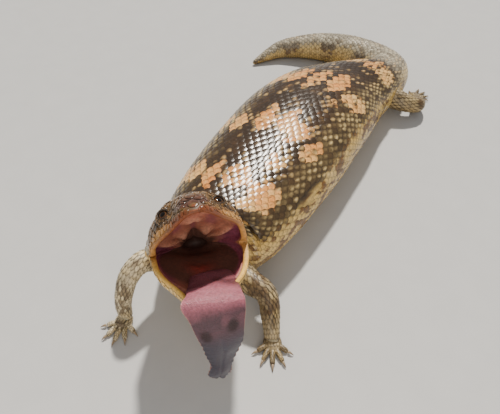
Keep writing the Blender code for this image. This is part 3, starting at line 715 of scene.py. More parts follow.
def off_line(angle, line):
    """How many degrees each angle lies past a line round the head."""
    return np.degrees(np.angle(np.exp(1j * (angle - line))))


def blend(a, b, share):
    """The first colour turned to the second by a share."""
    share = np.asarray(share)[..., None]
    return np.asarray(a) * (1 - share) + np.asarray(b) * share


def blotch_share(u, w, girth):
    """How far a place on the trunk lies in a salmon blotch, and how pale that one is."""
    share, pale = np.zeros(np.shape(u)), np.zeros(np.shape(u))
    for u0, w0, length, width, solid, cream in BLOTCHES:
        far = np.hypot((u - u0) / length, (w - w0) * girth / width)
        inside = smooth((1.25 - far) / 0.5) * solid
        pale = np.where(inside > share, cream, pale)
        share = np.maximum(share, inside)
    return share, pale


def trunk_tints(u, v, girth, points, draw, a, b):
    """Colour of the trunk and tail at places on their sheet. Draw is one random number a scale, and a
    and b are the place across and along that scale."""
    w = (v + 0.5) % 1 - 0.5
    again = redrawn(draw)
    side = np.abs(w) + 0.012 * (cloud(points, 14, 1) - 0.5)
    flank = smooth((side - 0.085) / 0.07)
    tail = smooth((u - 232) / 24)
    middle = np.exp(-(((a - 0.7 * (again - 0.5)) / 0.30) ** 2)) * smooth((b - 0.40) / 0.22)
    tint = blend(DARK, UMBER, 0.1 + 0.8 * cloud(points, 9, 2) * draw)
    tint = blend(tint, OLIVE, flank * (0.15 + 0.45 * again))
    patchy = smooth((cloud(points, 11, 3) - 0.34) / 0.3)
    fleck = (draw < 0.13 + 0.28 * flank + 0.25 * tail) * patchy
    tint = blend(tint, blend(PEACH, CREAM, 0.4 + 0.6 * flank), fleck * middle * 0.9)
    pale_patch = smooth((cloud(points, 13, 8) - 0.32) / 0.3)
    tint = blend(tint, CREAM, flank * (again > 0.3) * middle * (0.12 + 0.62 * pale_patch * again))
    share, pale = blotch_share(u, w, girth)
    level = share + 0.62 * (draw - 0.5) + 0.75 * (cloud(points, 2.6, 4) - 0.5) - 0.10
    near_blotch = smooth((level - 0.14) / 0.14) * middle * (again > 0.35)
    tint = blend(tint, blend(PEACH, CREAM, 0.5 + 0.5 * flank), near_blotch * 0.75)
    level = smooth((level - 0.44) / 0.16)
    spot = (draw > 0.3) * np.exp(-(((a - again + 0.5) / 0.22) ** 2) - ((b - 0.68) / 0.12) ** 2)
    warm = blend(SALMON, blend(PEACH, CREAM, draw * 0.5), pale * 0.75 + 0.45 * again)
    tint = blend(tint, warm, level * (1 - 0.85 * spot))
    tint = blend(tint, TAIL_GREY, tail * (0.35 + 0.60 * again) * (1 - level))
    bands = smooth((np.sin((u - 250) * 2 * math.pi / 38 + 1.2 * np.sign(w)) + 0.5) / 0.5)
    tail_side = smooth((side - 0.12) / 0.06) * bands * tail
    tint = blend(tint, CREAM, tail_side * (0.55 + 0.4 * (draw > 0.25)))
    dusk = smooth((side - 0.12) / 0.06) * (1 - bands) * tail
    tint = blend(tint, UMBER, dusk * 0.6)
    below = smooth((side - 0.187) / 0.025)
    streaks = cloud(points * (1.5, 0.5, 1.5), 3.2, 5) + 0.35 * (draw - 0.5)
    streaks = streaks + 0.5 * (cloud(points, 12, 6) - 0.5)
    marbling = smooth((streaks - 0.56) / 0.08)
    under = blend(STRAW, CREAM, cloud(points, 12, 7) * 0.7)
    under = blend(under, RUST, marbling * (0.85 - 0.7 * smooth((side - 0.25) / 0.1)))
    return blend(tint, under, below * (1 - 0.35 * tail))


def paint(mesh, tints):
    """Keeps a colour for each corner of a mesh."""
    rgba = np.ones((len(mesh.vertices), 4), np.float32)
    rgba[:, :3] = tints
    mesh.color_attributes.new("tint", "FLOAT_COLOR", "POINT").data.foreach_set("color", rgba.ravel())


def finished(name, points, faces, material, tints=None, rims=None, patch=None, smooth_angle=50):
    """A piece in metres at the origin, with its colour, rim and bake map."""
    mesh = bpy.data.meshes.new(name)
    mesh.from_pydata(((np.asarray(points) - np.asarray(ORIGIN)) * MM).tolist(), [], faces)
    if tints is not None:
        paint(mesh, tints)
    if rims is not None:
        mesh.attributes.new("rim", "FLOAT", "POINT").data.foreach_set("value", rims.astype(np.float32))
    if patch is not None:
        layer = mesh.uv_layers.new(name="OFBake")
        index = np.empty(len(mesh.loops), np.int32)
        mesh.loops.foreach_get("vertex_index", index)
        layer.data.foreach_set("uv", patch[index].astype(np.float32).ravel())
    mesh.materials.append(material)
    mesh.shade_smooth()
    if smooth_angle:
        mesh.set_sharp_from_angle(angle=math.radians(smooth_angle))
    obj = bpy.data.objects.new(name, mesh)
    bpy.context.scene.collection.objects.link(obj)
    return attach(obj, "root")


def scale_form(across, along):
    """One scale: places across (-1 to 1) and along (0 at the root to 1), height of the two sides in
    shares of lift, doming and thickness, nearness to the rim, and faces."""
    a = np.sin(np.radians(np.linspace(-80, 80, across + 1))) / math.sin(math.radians(80))
    rear = 0.46 + 0.54 * np.sqrt(np.clip(1 - a * a, 0, 1))
    c = np.array([0.0, 0.42, 0.68, 0.88, 1.0]) if along == 4 else np.linspace(0, 1, along + 1)
    grid = [(a[i], c[k] * rear[i], c[k], i, k) for k in range(along + 1) for i in range(across + 1)]
    a_, b_, c_ = (np.array([g[n] for g in grid]) for n in range(3))
    edge = np.maximum(np.abs(a_) ** 3, c_**3)
    width = a_ * (1 - 0.10 * (1 - c_))
    number = {(g[3], g[4]): n for n, g in enumerate(grid)}
    loop = [(i, 0) for i in range(across + 1)] + [(across, k) for k in range(1, along + 1)]
    loop += [(i, along) for i in range(across - 1, -1, -1)] + [(0, k) for k in range(along - 1, 0, -1)]
    faces = [
        [number[i, k], number[i + 1, k], number[i + 1, k + 1], number[i, k + 1]]
        for k in range(along)
        for i in range(across)
    ]
    top = len(grid)
    for n, place in enumerate(loop):
        m = (n + 1) % len(loop)
        faces.append([number[loop[m]], number[place], top + n, top + m])
    faces.append([top + n for n in range(len(loop) - 1, -1, -1)])
    rim_index = [number[p] for p in loop]
    dome = (1 - a_**2) * (1 - 0.75 * np.clip((c_ - 0.5) / 0.5, 0, 1) ** 2)
    return {
        "a": np.concatenate([width, width[rim_index]]),
        "b": np.concatenate([b_, b_[rim_index]]),
        "dome": np.concatenate([dome, np.zeros(len(loop))]),
        "deep": np.concatenate([np.zeros(top), np.ones(len(loop))]),
        "edge": np.concatenate([edge, np.ones(len(loop))]),
        "faces": faces,
    }


SCALE = scale_form(6, 4)
SMALL_SCALE = scale_form(4, 3)
# Coats of a leg, a palm and a toe: the sheet's depth and points round it, scales' length, number round
# and form, their lift, and how far from the skin a scale's root may lie. Lengths are in mm.
LEG_SHEET = (LEG_DEPTH, 64, 2.5, 16, SCALE, 0.42, 0.8)
PALM_SHEET = (PALM_DEPTH, 48, 1.9, 13, SMALL_SCALE, 0.30, 0.35)
TOE_SHEET = (TOE_DEPTH, 24, 1.25, 7, SMALL_SCALE, 0.2, 0.35)


def staggered(sheet, start, end, step_at, count_at, crowd=0.0):
    """Rows of places along and round a sheet, each row half a scale on from the last, with the
    scales' lengths and widths. Crowd draws the places together on the flanks."""
    u, places = start, []
    row = 0
    while u < end:
        step, count = step_at(u), count_at(u)
        share = (np.arange(count) + 0.5 * (row % 2)) / count
        share = share + crowd * np.sin(4 * math.pi * share) / (4 * math.pi)
        girth = np.interp(u, sheet["run"], sheet["girths"])
        width = girth / count * (1 + crowd * np.cos(4 * math.pi * share))
        places.append(np.stack([np.full(count, u), share, np.full(count, step), width], -1))
        u += step
        row += 1
    return np.vstack(places)


def lay_scales(form, sheet, places, lift, thick, seed):
    """Scales over a sheet, each tucked under the one before it. Returns their corners, the places of
    the corners on the sheet, and one random number a scale."""
    rng = np.random.default_rng(seed)
    draw = rng.random(len(places))
    u0, v0, step, width = places.T
    u0 = u0 + step * rng.normal(0, 0.03, len(u0))
    length = step * SCALE_REACH * (1 + rng.normal(0, 0.025, len(u0)))
    u = u0[:, None] + (form["b"][None] - TUCK) * length[:, None]
    _, _, girth = on_sheet(sheet, u, np.zeros_like(u))
    v = v0[:, None] + form["a"][None] * HALF_WIDTH * width[:, None] / girth
    points, normals, _ = on_sheet(sheet, u, v)
    rise = lift * (1 + rng.normal(0, 0.10, len(u0)))[:, None]
    height = rise * (form["b"][None] * 1.25 - 0.25) + DOMING * width[:, None] * form["dome"][None]
    height = height - thick * form["deep"][None]
    return points + normals * height[..., None], u, v, draw


def joined(form, count):
    """The faces of so many like scales, numbered on."""
    corners = len(form["a"])
    return [[k * corners + n for n in face] for k in range(count) for face in form["faces"]]


def bake_patch(u, v, form_size, place):
    """Each scale's patch on an unwrap of its sheet, at its root's place."""
    root = place(u[:, :1], v[:, :1])
    spread = np.stack(form_size, -1) * PATCH_HALF
    return (root + spread[None]).reshape(-1, 2)


def coat_piece(name, material, form, sheet, places, tint_of, lift, thick, seed, unwrap):
    """One piece of the coat: scales laid on a sheet, with their colours and bake map."""
    points, u, v, draw = lay_scales(form, sheet, places, lift, thick, seed)
    own_u, own_v, draw = (np.repeat(x[:, None], u.shape[1], 1) for x in (*places[:, :2].T, draw))
    a, b = (np.repeat(form[key][None], len(places), 0) for key in ("a", "b"))
    tints = tint_of(own_u, own_v, on_sheet(sheet, own_u, own_v)[2], points, draw, a, b)
    patch = bake_patch(u, v, (form["a"], form["b"] * 2 - 1), unwrap)
    rims = np.repeat(form["edge"][None], len(places), 0).ravel()
    faces = joined(form, len(places))
    return finished(name, points.reshape(-1, 3), faces, material, tints.reshape(-1, 3), rims, patch, 40)


def node(tree, kind, inputs=None, **settings):
    """A shader node with its settings, and each input set or linked."""
    made = tree.nodes.new(kind)
    for key, value in settings.items():
        setattr(made, key, value)
    for key, value in (inputs or {}).items():
        if isinstance(value, bpy.types.NodeSocket):
            tree.links.new(value, made.inputs[key])
        else:
            made.inputs[key].default_value = value
    return made


def ranged(tree, value, span, low, high):
    """A value's span drawn out from low to high."""
    inputs = {"Value": value, "From Min": span[0], "From Max": span[1], "To Min": low, "To Max": high}
    return node(tree, "ShaderNodeMapRange", inputs).outputs["Result"]


def tinted(name, dull, grain, relief, rim_share=0.0, flesh=0.0, cells=False):
    """A finish that takes the piece's own tint. Dull gives the lowest and highest roughness, grain the
    size and strength of the mottling, and relief the size and height of the fine bumps, in mm. Rim share
    says how dark a scale's edge is, flesh how much light scatters, and cells makes the bumps pits."""
    material = bpy.data.materials.new(name)
    material.use_nodes = True
    tree = material.node_tree
    shader = tree.nodes["Principled BSDF"]
    place = node(tree, "ShaderNodeTexCoord").outputs["Object"]
    mottle = node(tree, "ShaderNodeTexNoise", {"Vector": place, "Scale": 1000 / grain[0], "Detail": 3.0})
    mottle = mottle.outputs["Fac"]
    shade = ranged(tree, mottle, (0.3, 0.7), 1 - grain[1], 1 + grain[1])
    tint = node(tree, "ShaderNodeAttribute", attribute_name="tint").outputs["Color"]
    varied = node(tree, "ShaderNodeVectorMath", {0: tint, "Scale": shade}, operation="SCALE")
    colour = varied.outputs["Vector"]
    if rim_share:
        rim = node(tree, "ShaderNodeAttribute", attribute_name="rim").outputs["Fac"]
        near = ranged(tree, rim, (0.45, 1.0), 0.0, rim_share)
        mixed = node(tree, "ShaderNodeMix", {0: near, 6: colour, 7: (*DARK, 1)}, data_type="RGBA")
        colour = mixed.outputs[2]
    tree.links.new(colour, shader.inputs["Base Color"])
    tree.links.new(ranged(tree, mottle, (0.3, 0.7), *dull), shader.inputs["Roughness"])
    size = {"Vector": place, "Scale": 1000 / relief[0]}
    if cells:
        bumps = node(tree, "ShaderNodeTexVoronoi", size).outputs["Distance"]
    else:
        bumps = node(tree, "ShaderNodeTexNoise", {**size, "Detail": 4.0}).outputs["Fac"]
    bump = node(tree, "ShaderNodeBump", {"Height": bumps, "Strength": 0.6, "Distance": relief[1] * MM})
    tree.links.new(bump.outputs["Normal"], shader.inputs["Normal"])
    shader.inputs["Specular IOR Level"].default_value = SHINE
    if flesh:
        shader.inputs["Subsurface Weight"].default_value = flesh
        shader.inputs["Subsurface Radius"].default_value = SCATTER_COLOUR
        shader.inputs["Subsurface Scale"].default_value = SCATTER
    return material


HIDE = tinted("hide", (0.38, 0.6), (1.2, 0.25), (0.5, 0.10), flesh=0.06)
COAT = tinted("scales", (0.14, 0.25), (0.9, 0.22), (0.35, 0.05), 0.7)
HEAD_COAT = tinted("head_shields", (0.15, 0.30), (0.8, 0.25), (0.3, 0.05), 0.55)
LEG_COAT = tinted("leg_scales", (0.34, 0.5), (0.8, 0.25), (0.3, 0.05), 0.8)
TONGUE_FINISH = tinted("tongue_flesh", (0.36, 0.55), (1.1, 0.22), (0.55, 0.30), flesh=0.15, cells=True)
EYE_FINISH = tinted("wet_eye", (0.03, 0.06), (0.6, 0.15), (0.4, 0.0))
HORN = tinted("claw_horn", (0.3, 0.45), (0.7, 0.25), (0.3, 0.04))


def head_tints(angle, back, t, points, draw):
    """Colour of the head's outside. Back is the distance from the edge of the lip."""
    upper = np.sin(angle) >= 0
    side = np.abs(np.angle(np.exp(1j * (angle - np.pi / 2)))) / (2 * np.pi)
    crown = blend(BROWN, OLIVE, 0.6 * cloud(points, 5, 11))
    crown = blend(crown, TAN, 0.26 * smooth((cloud(points, 1.7, 16) - 0.50) / 0.2) + 0.12 * (draw > 0.8))
    crown = blend(crown, FINE_DARK, 0.5 * smooth((cloud(points, 2.6, 12) - 0.52) / 0.16))
    crown = blend(crown, SNOUT_WINE, 0.85 * smooth((t - 33) / 5) * smooth((back - 2.5) / 2))
    cheek = blend(OLIVE, CREAM, 0.15 + 0.6 * smooth((cloud(points, 3, 13) - 0.4) / 0.3))
    cheek = blend(cheek, FINE_DARK, 0.5 * smooth((cloud(points, 2.2, 17) - 0.58) / 0.10))
    tint = blend(crown, cheek, smooth((side - 0.12) / 0.08) * smooth((14 - t) / 14))
    front = smooth((t - 24) / 12)
    lip = smooth(((4.6 - 2.6 * front) - back) / 1.4)
    tint = blend(tint, blend(TAN, LIP_ORANGE, front), lip * 0.92)
    behind = smooth((2 - t) / 16) * smooth((0.16 - side) / 0.05)
    tint = blend(tint, blend(DARK, UMBER, draw), behind)
    tint = blend(tint, SALMON, behind * (draw > 0.75) * 0.8)
    jaw = blend(JAW_YELLOW, CREAM, 0.5 * cloud(points, 8, 14) + 0.2 * draw)
    jaw = blend(jaw, OLIVE, 0.6 * smooth((cloud(points, 4, 15) - 0.5) / 0.12) * smooth((26 - t) / 20))
    return np.where(upper[..., None], tint, jaw)


def mouth_tints(angle, w, points):
    """Colour of the mouth's lining, from the lip (0) to the throat (1), with painted light on the palate's
    raised lobes and painted shade in its hollows and down the throat.
    """
    upper = np.sin(angle) >= 0
    steep = np.abs(np.sin(angle))
    left = smooth((np.cos(angle) + 0.2) / 0.4)
    height = mouth_relief(angle, w)
    mottle = smooth((cloud(points, 3, 21) - 0.35) / 0.4)
    # Partly the palate's own pale lobes and partly painted light: lighter where the relief stands out.
    # Where the relief is sunk it takes the cheeks' purple as painted shade.
    tint = blend(PALATE, PALE_LIT_LOBE, mottle * 0.25 + 0.75 * smooth((height - 0.2) / 1.8))
    tint = blend(tint, CHEEK, 0.55 * smooth((-0.1 - height) / 0.9) * upper)
    low = np.where(upper, 0.66, 0.92)
    cheek = smooth((low - steep) / 0.12) * smooth((w - 0.06) / 0.10) * smooth((0.64 - w) / 0.08)
    tint = blend(tint, CHEEK, cheek * 0.95)
    # Painted shade: the lining turns to the gullet's shaded colour deeper in the throat, sooner towards the
    # left of the roof.
    roof = 0.86 - 0.20 * smooth((0.75 - steep) / 0.5) * (0.4 + 0.6 * left)
    floor = 0.50 - 0.32 * smooth((steep - 0.3) / 0.5)
    tint = blend(tint, GULLET_SHADE, smooth((w - np.where(upper, roof, floor)) / 0.12))
    # A lighter ring is painted light against the throat's own shade, and the far end is darkened as painted
    # shade where the mouth lamp lights it.
    tint = blend(tint, np.array(GULLET_SHADE) * 1.5, smooth((w - 0.82) / 0.06) * upper)
    tint = blend(tint, np.array(GULLET_SHADE) * 0.5, smooth((w - 0.95) / 0.04))
    off = off_line(angle, -np.pi / 2)
    glottis = np.exp(-(((w - GLOTTIS_PLACE) / 0.08) ** 2) - (off / 16) ** 2)
    tint = blend(tint, GLOTTIS, glottis * (1 - upper))
    rim = smooth((0.09 - w) / 0.06)
    corner = smooth((0.45 - steep) / 0.35)
    lip = np.where(upper[..., None], LIP_ORANGE, LOWER_LIP)
    return blend(tint, blend(lip, np.array(TAN) * 0.7, corner), rim * (1 - 0.5 * corner))


def mouth_relief(angle, w):
    """How far the mouth's lining stands out, in mm: gum, lobes and edges of the palate, the glottis,
    and the slot and the cheek pockets, which are sunk."""
    upper = np.sin(angle) >= 0
    steep = np.abs(np.sin(angle))
    off, low = off_line(angle, np.pi / 2), off_line(angle, -np.pi / 2)

    def mound(place, spread, across=0.0, reach=1.0):
        return np.exp(-(((w - place) / spread) ** 2) - (across / reach) ** 2)

    made = 1.0 * mound(0.12, 0.035) * smooth((steep - 0.3) / 0.3)
    lobes = 3.4 * mound(0.72, 0.12, np.abs(off) - 20, 11) + 2.0 * mound(0.34, 0.08, off, 11)
    edges = 2.6 * mound(0.62, 0.24, steep - 0.62, 0.08) - 1.2 * mound(0.45, 0.25, np.abs(off) - 22, 9)
    slot = -2.2 * mound(0.86, 0.12, off, 9) - 1.0 * mound(0.55, 0.3, off, 3.5)
    glottis = 2.0 * mound(GLOTTIS_PLACE, 0.07, low, 14) - 0.9 * mound(GLOTTIS_PLACE - 0.05, 0.03, low, 4)
    pocket = -1.5 * np.exp(-(((steep - 0.34) / 0.2) ** 2)) * smooth((w - 0.1) / 0.16)
    return made + np.where(upper, lobes + edges + slot, glottis) + pocket * smooth((0.85 - w) / 0.3)


def trunk_sheet():
    """The trunk and tail as a sheet that starts at the nape, with its first line along the spine."""
    dense = np.linspace(0, len(TRUNK), 3000)
    axis = trunk_frames(dense)[0]
    run = np.concatenate([[0], np.cumsum(np.linalg.norm(np.diff(axis, axis=0), axis=1))])
    places = np.interp(np.arange(0, run[-1], SHEET_STEP), run, dense)
    angles = math.pi / 2 - np.linspace(0, 2 * math.pi, 720, endpoint=False)
    rings = even_rings(trunk_points(places, angles), SHEET_SIDES)
    return sheet_of(rings - outward(rings) * SKIN_DEPTH)


def mouth_grid(angles):
    """The angle and the share from lip to throat of each point of the mouth's lining."""
    inner = HEAD_STEPS[2]
    w = np.linspace(0, 1, inner)[:, None] ** MOUTH_EASE
    return np.broadcast_to(angles, (inner, SKIN_SIDES)), np.broadcast_to(w, (inner, SKIN_SIDES))


def flesh_rings():
    """The whole skin as rings from the tail's tip over the nape and lips to the throat, and the angles
    of its points."""
    outer, rim, inner = HEAD_STEPS
    angles = (np.arange(SKIN_SIDES) + 0.5) * 2 * math.pi / SKIN_SIDES
    angles = angles + CROWDING * np.sin(2 * angles)
    head = np.array([head_column(a, outer, rim, inner) for a in angles]).transpose(1, 0, 2)
    places = np.linspace(len(TRUNK), 0, BODY_RINGS)[:-1]
    rings = np.vstack([trunk_points(places, angles), head])
    depth = np.concatenate([
        np.full(len(places), SKIN_DEPTH),
        np.linspace(SKIN_DEPTH, 0.35, outer),
        np.zeros(rim + inner),
    ])
    out = outward(rings)
    rings = rings - out * depth[:, None, None]
    for place, reach, height in HEAD_FORMS:
        for side in SIDES.values():
            far = np.linalg.norm(rings - on_head(place, side)[0], axis=-1)
            far[-inner - rim :] = 1e3
            rings = rings + out * (height * np.exp(-((far / reach) ** 2)))[..., None]
    rings[-inner:] += outward(rings)[-inner:] * mouth_relief(*mouth_grid(angles))[..., None]
    return rings, angles


def skin_colours(rings, angles, trunk):
    """Tints of the skin's rings, and the head's own measures at its outside."""
    outer, rim, inner = HEAD_STEPS
    start = len(rings) - outer - rim - inner
    tints = np.zeros(rings.shape)
    body = rings[:start]
    tree = search_tree(trunk["points"][::2, ::2].reshape(-1, 3))
    columns = trunk["points"].shape[1] // 2
    near = np.array([tree.find(p)[1] for p in body.reshape(-1, 3)])
    u = trunk["run"][::2][near // columns].reshape(body.shape[:2])
    v = (near % columns / columns).reshape(body.shape[:2])
    girth = np.interp(u, trunk["run"], trunk["girths"])
    still = np.full(u.shape, 0.35)
    tints[:start] = trunk_tints(u, v, girth, body, still, still, still + 0.3) * 0.8
    outside = rings[start : start + outer]
    lengths = np.linalg.norm(np.diff(outside, axis=0), axis=-1)
    back = np.vstack([np.cumsum(lengths[::-1], axis=0)[::-1], np.zeros((1, SKIN_SIDES))])
    spread = 1 - (1 - np.linspace(0, 1, outer)) ** OUTER_EASE
    reach = (np.arcsin(np.abs(np.sin(angles))) / (math.pi / 2)) ** LIP_EASE
    t = HEAD_BACK + (CORNER + (UPPER_LENGTH - CORNER) * reach - HEAD_BACK)[None] * spread[:, None]
    grid = np.broadcast_to(angles, t.shape)
    tints[start : start + outer] = head_tints(grid, back, t, outside, np.full(t.shape, 0.4))
    tints[-inner:] = mouth_tints(*mouth_grid(angles), rings[-inner:])
    steep = np.abs(np.sin(angles))
    above = blend(LIP_ORANGE, TAN, smooth((0.75 - steep) / 0.5))
    below = blend(TAN, JAW_YELLOW, smooth((steep - 0.1) / 0.4))
    lip = np.where((np.sin(angles) >= 0)[:, None], above, below)
    share = np.linspace(0, 1, rim)[:, None, None]
    tints[start + outer : -inner] = tints[start + outer - 1] * (1 - share) * 0.4 + lip * (0.6 + 0.4 * share)
    return tints, {"points": outside, "angle": grid, "back": back, "t": t}


def solid(name, rings):
    """A closed working solid in millimetres, which a Boolean joins or cuts and which is then removed."""
    points, faces = loft(rings)
    return solid_mesh(name, points, faces)


def solid_mesh(name, points, faces):
    """A closed working mesh whose faces point outwards."""
    mesh = bpy.data.meshes.new(name)
    mesh.from_pydata(np.asarray(points).tolist(), [], faces)
    work = bmesh.new()
    work.from_mesh(mesh)
    bmesh.ops.remove_doubles(work, verts=work.verts, dist=1e-4)
    bmesh.ops.recalc_face_normals(work, faces=work.faces)
    if work.calc_volume(signed=True) < 0:
        bmesh.ops.reverse_faces(work, faces=work.faces)
    work.to_mesh(mesh)
    work.free()
    obj = bpy.data.objects.new(name, mesh)
    bpy.context.scene.collection.objects.link(obj)
    return obj


def ball(name, centre, axes, radii, segments):
    """A working solid: a ball drawn out by its three radii along its own axes."""
    work = bmesh.new()
    bmesh.ops.create_uvsphere(work, u_segments=segments, v_segments=segments // 2, radius=1.0)
    points = np.array([v.co[:] for v in work.verts]) @ (np.array(axes) * np.array(radii)[:, None])
    faces = [[v.index for v in f.verts] for f in work.faces]
    work.free()
    return solid_mesh(name, points + np.asarray(centre), faces)


def combined(target, operation, tools):
    """The target joined to the tools or cut by them, which are then removed."""
    for tool in tools:
        modifier = target.modifiers.new("combine", "BOOLEAN")
        modifier.operation, modifier.object, modifier.solver = operation, tool, "MANIFOLD"
        bpy.ops.object.select_all(action="DESELECT")
        bpy.context.view_layer.objects.active = target
        bpy.ops.object.modifier_apply(modifier=modifier.name)
        bpy.data.objects.remove(tool)
    return target


def inset(rings, depth):
    """Rings moved inwards by a depth."""
    return rings - outward(rings) * depth


def limb_solids():
    """The legs, palms and toes as closed solids a little inside the coat."""
    made = []
    for name in LEGS:
        kind, word = name.split("_")
        made.append(solid("leg", inset(leg_points(name, np.linspace(0, 7, 70), 44), LEG_DEPTH)))
        made.append(solid("palm", inset(palm_points(name, 18, 36), PALM_DEPTH)))
        for index in range(len(TOES[kind])):
            made.append(solid("toe", inset(toe_points(name, index, SIDES[word], 14, 16), TOE_DEPTH)))
    return made


def build_skin(trunk):
    """The skin with legs, lids, orbits, nostrils and ears: its corners, faces and colours, and the
    measures of the head's outside."""
    rings, angles = flesh_rings()
    tints, measures = skin_colours(rings, angles, trunk)
    skin = solid("skin", rings)
    tools = limb_solids()
    lids, cuts = [], []
    for side in SIDES.values():
        centre, out, forward, up = eye_frame(side)
        lid, orbit = EYE_RADIUS + LID_THICKNESS - 0.2, EYE_RADIUS + 0.12
        middle = centre + out * LID_SHIFT
        lids.append(ball("lid", middle, (forward, up, out), (lid * 1.12, lid, lid - LID_SHIFT), 48))
        cuts.append(ball("orbit", centre, (forward, up, out), (orbit,) * 3, 40))
        slit = centre + out * (EYE_RADIUS + 1.2)
        cuts.append(ball("slit", slit, (forward, up, out), (*LID_OPENING, 4.0), 40))
        point, out, forward, up = on_head(NOSTRIL_PLACE, side)
        radii = (NOSTRIL_RADIUS * 1.3, NOSTRIL_RADIUS, 1.6)
        cuts.append(ball("nostril", point, (forward, up, out), radii, 20))
        point, out, forward, up = on_head(EAR_PLACE, side)
        cuts.append(ball("ear", point, (forward, up, out), (*EAR_SIZE, EAR_DEPTH), 28))
    combined(skin, "UNION", tools + lids)
    combined(skin, "DIFFERENCE", cuts)
    points = np.array([v.co[:] for v in skin.data.vertices])
    faces = [list(p.vertices) for p in skin.data.polygons]
    bpy.data.objects.remove(skin)
    return points, faces, skin_tints(points, rings, tints), measures


def skin_tints(points, rings, tints):
    """The skin's colours: those of the nearest point of its rings, and of the legs away from them."""
    tree = search_tree(rings.reshape(-1, 3))
    found = [tree.find(p) for p in points]
    index = np.array([f[1] for f in found])
    far = np.array([f[2] for f in found])
    made = tints.reshape(-1, 3)[index]
    leg = smooth((far - 1.0) / 2.5) * (points[:, 2] < SHOULDER_HEIGHT)
    made = blend(made, np.array(LEG_GREY) * 0.5, leg)
    for side in SIDES.values():
        centre, out, _, _ = eye_frame(side)
        near = np.linalg.norm(points - centre, axis=1)
        outside = (points - centre) @ out > 0
        made = blend(made, LID_BROWN, smooth((5.6 - near) / 1.0) * outside)
        # Painted shade: the nostrils and ear openings are darkened.
        for place, size in ((NOSTRIL_PLACE, 1.5), (EAR_PLACE, 2.6)):
            near = np.linalg.norm(points - on_head(place, side)[0], axis=1)
            made = blend(made, HOLE_SHADE, smooth((size - near) / 0.8))
    return made


def lip_place(degrees, back):
    """A point of the head's outside so many mm from the edge of the lip, on the line at this angle,
    and the edge's own point."""
    line = head_column(math.radians(degrees), 90, 2, 3)[:90]
    lengths = np.linalg.norm(np.diff(line, axis=0), axis=1)
    run = np.concatenate([[0], np.cumsum(lengths[::-1])])[::-1]
    order = np.argsort(run)
    point = np.array([np.interp(back, run[order], line[order, axis]) for axis in range(3)])
    return point, line[-1]


def head_seeds():
    """Middles of the head's plates with their sizes, and the points that only bound them."""
    seeds, sizes, ghosts = [], [], []
    for t, off, size in CROWN:
        for side in (1,) if off == 0 else (1, -1):
            seeds.append(on_head((t, 90 - off), side)[0])
            sizes.append(size)
    for angles, sign in ((UPPER_LABIALS, 1), (LOWER_LABIALS, -1)):
        for degrees in angles:
            for angle in (degrees, 180 - degrees):
                point, edge = lip_place(angle * sign, 2.0)
                seeds.append(point)
                sizes.append(3.0)
                ghosts.append(2 * edge - point)
    point, edge = lip_place(-90, 2.2)
    seeds.append(point)
    sizes.append(3.2)
    ghosts.append(2 * edge - point)
    point, edge = lip_place(90, 1.0)
    ghosts.append(2 * edge - point)
    for side in SIDES.values():
        centre, out, forward, up = eye_frame(side)
        for ring, (count, radii) in enumerate(LID_GRANULES):
            for k in range(count):
                turn = 2 * math.pi * (k + 0.5 * ring) / count
                arm = forward * math.cos(turn) * radii[0] + up * math.sin(turn) * radii[1]
                point = centre + arm + out * (EYE_RADIUS - 0.4 - 0.9 * ring)
                seeds.append(point)
                sizes.append(1.15 + 0.35 * ring)
                if ring == 0:
                    inner = forward * math.cos(turn) * 2.3 + up * math.sin(turn) * 1.5
                    ghosts.append(centre + inner + out * EYE_RADIUS)
        ear, out, forward, up = on_head(EAR_PLACE, side)
        for k in range(EAR_GRANULES):
            turn = 2 * math.pi * k / EAR_GRANULES
            arm = forward * math.cos(turn) * EAR_SIZE[0] + up * math.sin(turn) * EAR_SIZE[1]
            seeds.append(ear + arm * 1.75)
            sizes.append(1.9)
            ghosts.append(ear + arm * 0.5)
    return np.array(seeds), np.array(sizes), np.array(ghosts)


def spread_seeds(seeds, sizes, ghosts, measures):
    """More middles, spread over the rest of the head's outside at the spacing that suits the place."""
    points = measures["points"].reshape(-1, 3)
    t = measures["t"].ravel()
    back = measures["back"].ravel()
    upper = np.sin(measures["angle"]).ravel() > 0
    want = np.where(upper, 3.7 - 1.4 * smooth((t + 4) / 30), 3.8 - 0.7 * smooth((t + 5) / 35))
    want = np.minimum(want, 2.2 + 0.16 * back)
    rng = np.random.default_rng(5)
    fixed = np.vstack([seeds, ghosts])
    reach = np.concatenate([sizes, np.full(len(ghosts), 1.4)])
    chosen, chosen_want = np.empty((0, 3)), np.empty(0)
    for k in rng.permutation(len(points)):
        p = points[k]
        if t[k] < HEAD_BACK + 1.2:
            continue
        if (np.linalg.norm(fixed - p, axis=1) < 0.5 * (reach + want[k])).any():
            continue
        if len(chosen) and (np.linalg.norm(chosen - p, axis=1) < 0.82 * want[k]).any():
            continue
        chosen = np.vstack([chosen, p])
        chosen_want = np.append(chosen_want, want[k])
    for _ in range(5):
        every = np.vstack([chosen, fixed])
        owner = np.empty(len(points), int)
        for start in range(0, len(points), 2000):
            part = points[start : start + 2000]
            owner[start : start + 2000] = ((part[:, None] - every[None]) ** 2).sum(-1).argmin(1)
        for n in range(len(chosen)):
            mine = points[owner == n]
            if len(mine):
                chosen[n] = mine.mean(0)
    return chosen, chosen_want


def plate_rings(big):
    """Shares of the outline and of the height for the rings of one plate."""
    if big:
        return ((1.0, -0.8), (1.0, 0.35), (0.96, 0.72), (0.88, 0.92), (0.6, 1.0), (0.3, 1.05))
    return ((1.0, -0.8), (1.0, 0.35), (0.88, 0.85), (0.5, 1.0))


